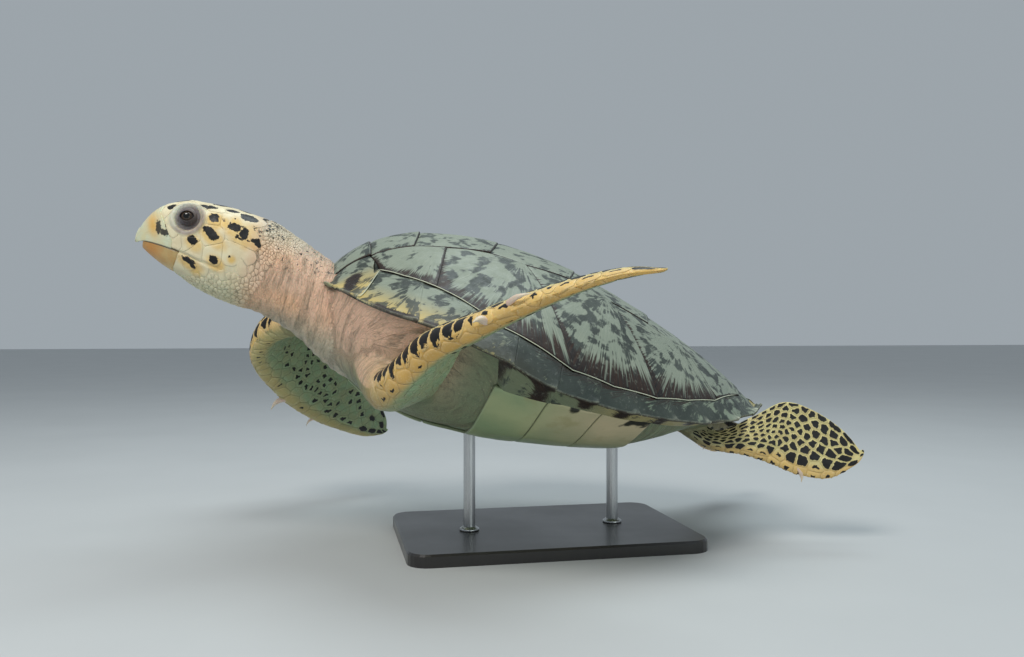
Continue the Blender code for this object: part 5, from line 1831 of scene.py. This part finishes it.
def make_head_coat():
    """Large shields over crown and cheeks, and small granules over nape and throat."""
    rng = np.random.default_rng(11)
    shields = shield_seeds()

    def granule_size(flat):
        below = smooth_step(1.9, 2.4, from_crown(flat[:, 1] / HEAD_ROUND))
        near = smooth_step(-0.42, -0.47, flat[:, 0])
        small = np.interp(flat[:, 0], (-0.455, -0.40), (1.0, 0.85))
        return (0.0033 + 0.0016 * near + 0.0012 * below) * small

    low, high = (-0.575, -np.pi / 2 * HEAD_ROUND), (-0.385, 1.5 * np.pi * HEAD_ROUND)
    cloud = rng.uniform(low, high, (16000, 2))
    turn = from_crown(cloud[:, 1] / HEAD_ROUND)
    # The bare throat and the nape carry granules, the cheeks behind the shields a few rows of them
    starts = (-0.447, -0.447, -0.445, -0.475, -0.520, -0.560)
    start = np.interp(turn, (0.0, 0.9, 1.5, 1.85, 2.1, 3.2), starts)
    ends = (-0.392, -0.402, -0.428, -0.436, -0.452, -0.455)
    end = np.interp(turn, (0.0, 0.8, 1.2, 1.6, 2.4, 3.2), ends)
    cloud = cloud[(cloud[:, 0] > start) & (cloud[:, 0] < end)]
    far = np.linalg.norm(cloud[:, None] - shields[None], axis=-1).min(axis=1)
    granules = spread_seeds(np.zeros((0, 2)), cloud[far > 0.0085], granule_size)
    everything = np.concatenate([shields, granules])
    whole_turn = (0, 2 * np.pi * HEAD_ROUND)
    around = np.concatenate([everything, everything + whole_turn, everything - whole_turn])
    walls = head_walls()
    coat = ScaleCoat("scales_head", head_place, 0.42, (-0.62, -np.pi / 2 * HEAD_ROUND - 0.01))

    def shield_shades(points, _, edge):
        lift = smooth_step(0.0025, 0.0, edge)[..., None] * 0.18
        return blend(head_tint(points), (0.76, 0.72, 0.58), lift), head_dark(points)

    reach = cell_reach(shields, around, 40, 0.0006, walls)
    inner = (0.86, 0.72, 0.58, 0.44, 0.30, 0.15)
    coat.lay(shields, reach, 0.0006, shield_shades, bevel=0.0009, inner=inner, sink=0.0007)

    reach = cell_reach(granules, around, 9, 0.0005, walls, longest=0.0042)
    tone = rng.uniform(-1, 1, len(granules))
    draw = rng.uniform(0, 1, len(granules))
    nape = from_crown(granules[:, 1] / HEAD_ROUND)
    inked = draw < 0.55 * smooth_step(1.0, 0.5, nape) * smooth_step(-0.415, -0.44, granules[:, 0])

    def granule_shades(points, _, edge):
        tint = blend(head_tint(points) * (1 + 0.10 * tone[:, None, None]), (0.74, 0.70, 0.54), 0.22)
        return tint, np.where(inked[:, None], edge - 0.0005, -0.02)

    thick = 0.0007 * np.interp(granules[:, 0], (-0.45, -0.39), (1.0, 0.5))
    coat.lay(granules, reach, thick, granule_shades, bevel=0.0008, inner=(0.45,), sink=0.0006)
    coat.finish()


make_head_coat()


# ---------------------------------------------------------------- bill


def horn_finish(name, ground, warm, pale):
    """Polished horn with faint growth lines, a warm middle, dark smudges and a thin dark cutting edge."""
    f = Finish(name, roughness=0.38, coat=0.12, coat_roughness=0.20, subsurface=0.06, gloss=0.40)
    cloud = f.noise(f.place, 75.0, detail=4.0)
    colour = f.mix(f.ramp(cloud, 0.3, 0.7), ground, pale)
    colour = f.mix(f.times(f.attribute("middle"), f.ramp(cloud, 0.25, 0.6, 0.65, 1.0)), colour, warm)
    lines = f.noise(f.mapped(f.uv("grain"), (1.0, 0.07, 1.0)), 70.0, detail=3.0)
    colour = f.mix(f.ramp(lines, 0.48, 0.75, 0.0, 0.28), colour, f.mix(0.5, colour, (0.26, 0.17, 0.08)))
    ragged = f.swing(f.noise(f.place, 260.0, detail=3.0), 0.0060)
    smudge = f.ramp(f.plus(f.attribute("dark"), ragged), -0.0004, 0.0009, 0.0, 0.93)
    colour = f.mix(smudge, colour, (0.018, 0.017, 0.018))
    colour = f.mix(f.attribute("lip"), colour, (0.10, 0.075, 0.050))
    relief = f.plus(lines, f.times(f.noise(f.place, 240.0, detail=4.0), 0.6))
    return f.done(colour, f.ramp(cloud, 0.3, 0.7, 0.28, 0.42), f.bump(relief, 0.0005, 0.5))


def mouth_turn(y, below=0.0):
    """The turn at which the gape, or a line below it, meets the left side of the head."""
    return head_turn(y, mouth_height(y) - below)


NOSTRIL = np.array((0.0062, -0.6020, 0.0665))


def sheath(upper):
    """Grid of points round half of the bill: its outer face, then its inner face."""
    rows, columns = 74, 90
    c = np.linspace(-1, 1, columns)
    edge_z, edge_y = (UPPER_EDGE_Z, UPPER_EDGE_Y) if upper else (LOWER_EDGE_Z, LOWER_EDGE_Y)
    middle = np.pi / 2 if upper else -np.pi / 2
    front = -0.6170 if upper else -0.6060

    def turns(y):
        lip = mouth_turn(y, 0.0 if upper else 0.0008)
        return middle + c * (middle - lip) if upper else middle - c * (lip - middle)

    rear = np.full(columns, -0.575)
    for _ in range(60):
        z = head_point(rear, turns(rear))[:, 2]
        rear = 0.6 * rear + 0.4 * np.interp(z, edge_z, edge_y)
    t = 1 - (1 - np.linspace(0, 1, rows)) ** 1.5
    outer, inner = [], []
    for share in t:
        y = rear + (front - rear) * share
        turn = turns(y)
        back = rear - y
        round_rear = 0.0016 * (1 - smooth_step(0.0, 0.0018, back))
        lip = 0.0006 * smooth_step(0.86, 1.0, np.abs(c)) * smooth_step(0.0, 0.01, back)
        ripple = 0.00016 * np.sin(back * 2 * np.pi / 0.0042) * smooth_step(0.03, 0.0, back)
        skin = head_point(y, turn, 0.0009 - round_rear + lip + ripple)
        under = head_point(y, turn, -0.0021)
        # Towards the tip the horn is solid
        level = mouth_height(y) + (0.0005 if upper else -0.0013)
        solid_horn = np.stack([skin[:, 0] * 0.93, y, level], axis=-1)
        deep = smooth_step(*((-0.599, -0.606) if upper else (-0.594, -0.600)), y)[:, None]
        outer.append(skin)
        inner.append(under + (solid_horn - under) * deep)
    # The rounded end
    for q in np.linspace(0, 1, 9)[1:]:
        last, close = outer[rows - 1], inner[rows - 1]
        low = last[:, 2].min() + (0.35 if upper else 0.55) * (last[:, 2].max() - last[:, 2].min())
        centre = np.array((0.0, last[:, 1].mean(), low))
        keep = max(math.cos(q * math.pi / 2), 0.03)
        ahead = np.array((0.0, -(0.0030 if upper else 0.0026) * math.sin(q * math.pi / 2), 0.0))
        outer.append(centre + (last - centre) * keep + ahead)
        inner.append(centre + (close - centre) * keep + ahead * 0.6)
    outer, inner = np.array(outer), np.array(inner)
    for grid in (outer, inner):
        if upper:
            drop = smooth_step(-0.602, -0.6185, grid[..., 1]) * smooth_step(0.055, 0.030, grid[..., 2])
            grid[..., 2] -= 0.0032 * drop
            grid[..., 1] -= 0.0012 * drop
        dent = np.linalg.norm(both_sides(grid) - NOSTRIL, axis=-1)
        grid[..., 2] -= 0.0016 * np.exp(-((dent / 0.0016) ** 2))
    return outer, inner, c


def make_bill():
    upper_horn = horn_finish("bill_horn", (0.70, 0.65, 0.40), (0.76, 0.45, 0.12), (0.66, 0.72, 0.55))
    jaw_horn = horn_finish("jaw_horn", (0.58, 0.36, 0.13), (0.62, 0.27, 0.06), (0.62, 0.48, 0.22))
    for upper in (True, False):
        outer, inner, c = sheath(upper)
        rows, columns = outer.shape[:2]
        across = np.abs(c)[None, :] * np.ones((rows, 1))
        # Where the horn is warmest: the middle of the patch, its slant, its length and its height
        patch = (-0.5985, 0.050, 0.35, 0.0105, 0.0175) if upper else (-0.5950, 0.017, 0.0, 0.019, 0.019)
        y, z, slope, long, high = patch
        ahead, above = outer[..., 1] - y, outer[..., 2] - z
        warm = bell(ahead + above * slope, long) * bell(above, high)
        smudges = spot_depth(outer, BILL_SPOTS) if upper else np.full((rows, columns), -0.03)
        smudges = np.maximum(smudges, (0.0016 - np.linalg.norm(both_sides(outer) - NOSTRIL, axis=-1)) * 2)
        lip = 0.75 * smooth_step(0.975, 1.0, across) * smooth_step(-0.615, -0.608, outer[..., 1])
        grain = np.stack([across * 0.9, np.arange(rows)[:, None] / rows * np.ones((1, columns))], axis=-1)
        floats = {"middle": twice(warm), "dark": twice(smudges), "lip": twice(lip)}
        looks = {"floats": floats, "maps": {"grain": twice(grain)}}
        points, faces = np.stack([outer, inner]), sheet_faces(rows, columns)
        if upper:
            add_piece("bill_sheath_upper", "bill_horn", ("bill_upper",), points, faces, upper_horn, **looks)
        else:
            add_piece("bill_sheath_lower", "jaw_horn", ("bill_lower",), points, faces, jaw_horn, **looks)


make_bill()


# ---------------------------------------------------------------- eyes


def eye_finish():
    """A wet, nearly black eye: a brown iris with fine rays round a wide pupil."""
    f = Finish("wet_eye", roughness=0.12, coat=0.35, coat_roughness=0.04, gloss=0.30)
    far = f.attribute("far")
    rays = f.noise(f.uv("rays"), 9.0, detail=3.0)
    iris = f.mix(f.ramp(rays, 0.35, 0.65), (0.022, 0.014, 0.010), (0.085, 0.052, 0.030))
    colour = f.mix(f.ramp(far, 0.0040, 0.0047), (0.003, 0.003, 0.003), iris)
    colour = f.mix(f.ramp(far, 0.0072, 0.0086), colour, (0.030, 0.026, 0.030))
    return f.done(colour)


def make_eyes():
    finish = eye_finish()
    steps = 72
    lean, turn = np.meshgrid(np.linspace(0.01, np.pi - 0.01, steps), turns_round(steps)[0], indexing="ij")
    # The cornea stands out over the iris
    radius = EYE_RADIUS - 0.0006 + 0.0011 * smooth_step(0.66, 0.22, lean)
    rays = np.stack([np.cos(turn), np.sin(turn)], axis=-1) * (1 + 0.2 * lean[..., None])
    looks = {"floats": {"far": (lean * EYE_RADIUS).ravel()}, "maps": {"rays": rays.reshape(-1, 2)}}
    for side, sign in (("left", 1), ("right", -1)):
        out = EYE_OUT * (sign, 1, 1)
        along = unit(np.cross(out, (0.0, 0.0, 1.0)))
        up = np.cross(along, out)
        across = np.cos(turn)[..., None] * along + np.sin(turn)[..., None] * up
        way = np.cos(lean)[..., None] * out + np.sin(lean)[..., None] * across
        points, faces = EYE_AT * (sign, 1, 1) + radius[..., None] * way, tube_faces(steps, steps)
        add_piece(f"eyeball_{side}", "eye", (f"eye_{side}",), points, faces, finish, **looks)


make_eyes()


# ---------------------------------------------------------------- claws

# Root, tip and root radius of each claw, and the way its back bows
CLAWS = {
    "claw_front_left_1": ((0.342, -0.163, 0.080), (0.358, -0.181, 0.079), 0.0062, (0.3, -0.6, 0.7)),
    "claw_front_left_2": ((0.358, -0.146, 0.113), (0.374, -0.130, 0.130), 0.0038, (0.7, -0.6, 0.3)),
    "claw_front_right_1": ((-0.290, -0.364, -0.222), (-0.294, -0.385, -0.249), 0.0062, (0.0, -0.9, 0.5)),
    "claw_front_right_2": ((-0.326, -0.303, -0.252), (-0.330, -0.316, -0.272), 0.0038, (0.0, -0.9, 0.5)),
    "claw_rear_left": ((0.137, 0.390, -0.026), (0.143, 0.398, -0.040), 0.0042, (0.2, 0.9, 0.0)),
    "claw_rear_right": ((-0.173, 0.376, -0.079), (-0.185, 0.386, -0.091), 0.0042, (0.2, 0.9, 0.0)),
}


def claw_finish():
    f = Finish("claw_horn", roughness=0.36, coat=0.2, coat_roughness=0.2, subsurface=0.08)
    streak = f.noise(f.mapped(f.uv("grain"), (1.0, 0.12, 1.0)), 26.0, detail=3.0)
    colour = f.mix(f.attribute("tipward"), (0.72, 0.52, 0.44), (0.74, 0.66, 0.48))
    colour = f.mix(f.ramp(streak, 0.45, 0.75, 0.0, 0.4), colour, (0.42, 0.27, 0.18))
    return f.done(colour, None, f.bump(streak, 0.0005, 0.6))


def make_claws():
    finish = claw_finish()
    turn, _ = turns_round(28)
    t, turn = np.meshgrid(np.linspace(0, 1, 30), turn, indexing="ij")
    taper = (1 - 0.93 * t**1.9) * (1 + 0.10 * np.sin(np.pi * t)) * (1 + 0.05 * np.cos(turn) ** 8)
    grain = np.stack([np.abs(turn - np.pi) / np.pi, t], axis=-1)
    looks = {"floats": {"tipward": t.ravel()}, "maps": {"grain": grain.reshape(-1, 2)}}
    for name, (root, tip, radius, bow) in CLAWS.items():
        root, tip, bow = np.array(root), np.array(tip), np.array(bow)
        axis = unit(tip - root)
        bow = unit(bow - axis * (bow @ axis))
        # The root of the claw is set into the flipper
        root = root - axis * 0.005
        bulge = 0.16 * np.linalg.norm(tip - root) * np.sin(np.pi * t**1.2)
        centre = root + (tip - root) * t[..., None] + bow * bulge[..., None]
        ring = np.cos(turn)[..., None] * bow * 0.82 + np.sin(turn)[..., None] * np.cross(axis, bow)
        points, faces = centre + ring * (radius * taper)[..., None], tube_faces(*t.shape)
        add_piece(name.replace("claw", "horn_claw"), "claw", (name,), points, faces, finish, **looks)


make_claws()


# ---------------------------------------------------------------- stand


def base_finish():
    """Black satin lacquer over wood."""
    f = Finish("black_lacquer", roughness=0.32, coat=0.35, coat_roughness=0.25)
    grain = f.noise(f.mapped(f.place, (6.0, 90.0, 60.0)), 1.6, detail=5.0)
    cloud = f.noise(f.place, 5.0, detail=4.0)
    colour = f.mix(grain, (0.011, 0.010, 0.010), (0.021, 0.019, 0.018))
    dust = f.ramp(f.noise(f.place, 900.0, detail=1.0), 0.72, 0.80, 0.0, 0.10)
    colour = f.mix(dust, colour, (0.30, 0.30, 0.29))
    return f.done(colour, f.ramp(cloud, 0.3, 0.7, 0.28, 0.38), f.bump(grain, 0.0003, 0.25))


def rod_finish():
    """Brushed stainless steel."""
    f = Finish("brushed_steel", roughness=0.30)
    f.set("Metallic", 1.0)
    brushed = f.noise(f.mapped(f.place, (900.0, 900.0, 14.0)), 1.0, detail=2.0)
    colour = f.mix(brushed, (0.44, 0.45, 0.46), (0.62, 0.63, 0.64))
    return f.done(colour, f.ramp(brushed, 0.3, 0.7, 0.24, 0.36), f.bump(brushed, 0.0002, 0.3))


# The section of the turned collar where a rod meets the base: how far out and how high
COLLAR = (
    (0.0094, 0.0), (0.0145, 0.0), (0.0150, 0.0006), (0.0150, 0.0030), (0.0144, 0.0038), (0.0116, 0.0042),
    (0.0108, 0.0060), (0.0102, 0.0066), (0.0094, 0.0066),
)


def make_stand():
    lacquer, steel = base_finish(), rod_finish()
    for name, finish in (("stand_base", lacquer), ("stand_rod_front", steel), ("stand_rod_rear", steel)):
        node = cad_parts[name]
        node.data.materials.clear()
        node.data.materials.append(finish)
    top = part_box("stand_base")[1].z
    around = 64
    out, up = (np.array(values)[:, None] for values in zip(*COLLAR))
    ways = turns_round(around)[1]
    # Its last ring joins its first
    faces = [tuple(f) for f in grid_faces(len(COLLAR), around, closed=True)]
    last = (len(COLLAR) - 1) * around
    faces += [(last + k, last + (k + 1) % around, (k + 1) % around, k) for k in range(around)]
    for name in ("stand_rod_front", "stand_rod_rear"):
        low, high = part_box(name)
        x = (low.x + high.x) / 2 + out * ways[:, 0]
        y = (low.y + high.y) / 2 + out * ways[:, 1]
        points = np.stack([x, y, top + 0.0001 + up + 0 * x], axis=-1).reshape(-1, 3)
        made = new_mesh(name.replace("rod", "collar"), points, faces, steel)
        face_out(made)
        finished(made, "stand_rod")


make_stand()


# ---------------------------------------------------------------- floor, light and camera


def floor_finish():
    f = Finish("studio_floor", roughness=0.7)
    tone = f.noise(f.place, 3.0, detail=3.0)
    return f.done(f.mix(tone, (0.50, 0.515, 0.52), (0.56, 0.575, 0.58)))


LIT_POINT = Vector((0, 0, 0.3))
# The lens in millimetres, and the camera in metres and degrees, held level
FOCAL_LENGTH = 31.64
SENSOR_WIDTH = 36.0
CAMERA_AT = (1.3595, -0.3335, 0.3236)
CAMERA_HEADING = 78.08


def soft_light(name, place, size, power, colour):
    """A round lamp that looks at the model."""
    lamp = bpy.data.lights.new(name, "AREA")
    lamp.shape = "DISK"
    lamp.size = size
    lamp.energy = power
    lamp.color = colour
    made = bpy.data.objects.new(name, lamp)
    bpy.context.scene.collection.objects.link(made)
    made.location = place
    made.rotation_euler = (LIT_POINT - Vector(place)).to_track_quat("-Z", "Y").to_euler()


def make_stage():
    half = 14.0
    corners = [(-half, -half, 0), (half, -half, 0), (half, half, 0), (-half, half, 0)]
    new_mesh("studio_floor", corners, [(0, 1, 2, 3)], floor_finish(), smooth=False)
    world = bpy.data.worlds.new("studio")
    world.use_nodes = True
    sky = world.node_tree.nodes["Background"].inputs
    sky["Color"].default_value = (0.76, 0.85, 0.92, 1)
    sky["Strength"].default_value = 0.44
    bpy.context.scene.world = world
    soft_light("key_light", (1.6, -1.4, 2.6), 1.2, 50, (1.0, 0.97, 0.91))
    soft_light("top_light", (-0.4, 0.5, 2.8), 2.0, 34, (0.86, 0.97, 1.0))
    soft_light("low_fill", (2.4, 0.9, 0.5), 1.2, 5, (0.90, 1.0, 0.95))
    lens = bpy.data.cameras.new("camera")
    lens.lens = FOCAL_LENGTH
    lens.sensor_width = SENSOR_WIDTH
    lens.clip_start = 0.05
    camera = bpy.data.objects.new("camera", lens)
    bpy.context.scene.collection.objects.link(camera)
    camera.location = CAMERA_AT
    camera.rotation_euler = (math.radians(90.0), 0.0, math.radians(CAMERA_HEADING))
    bpy.context.scene.camera = camera
    bpy.context.scene.view_settings.view_transform = "Standard"


make_stage()
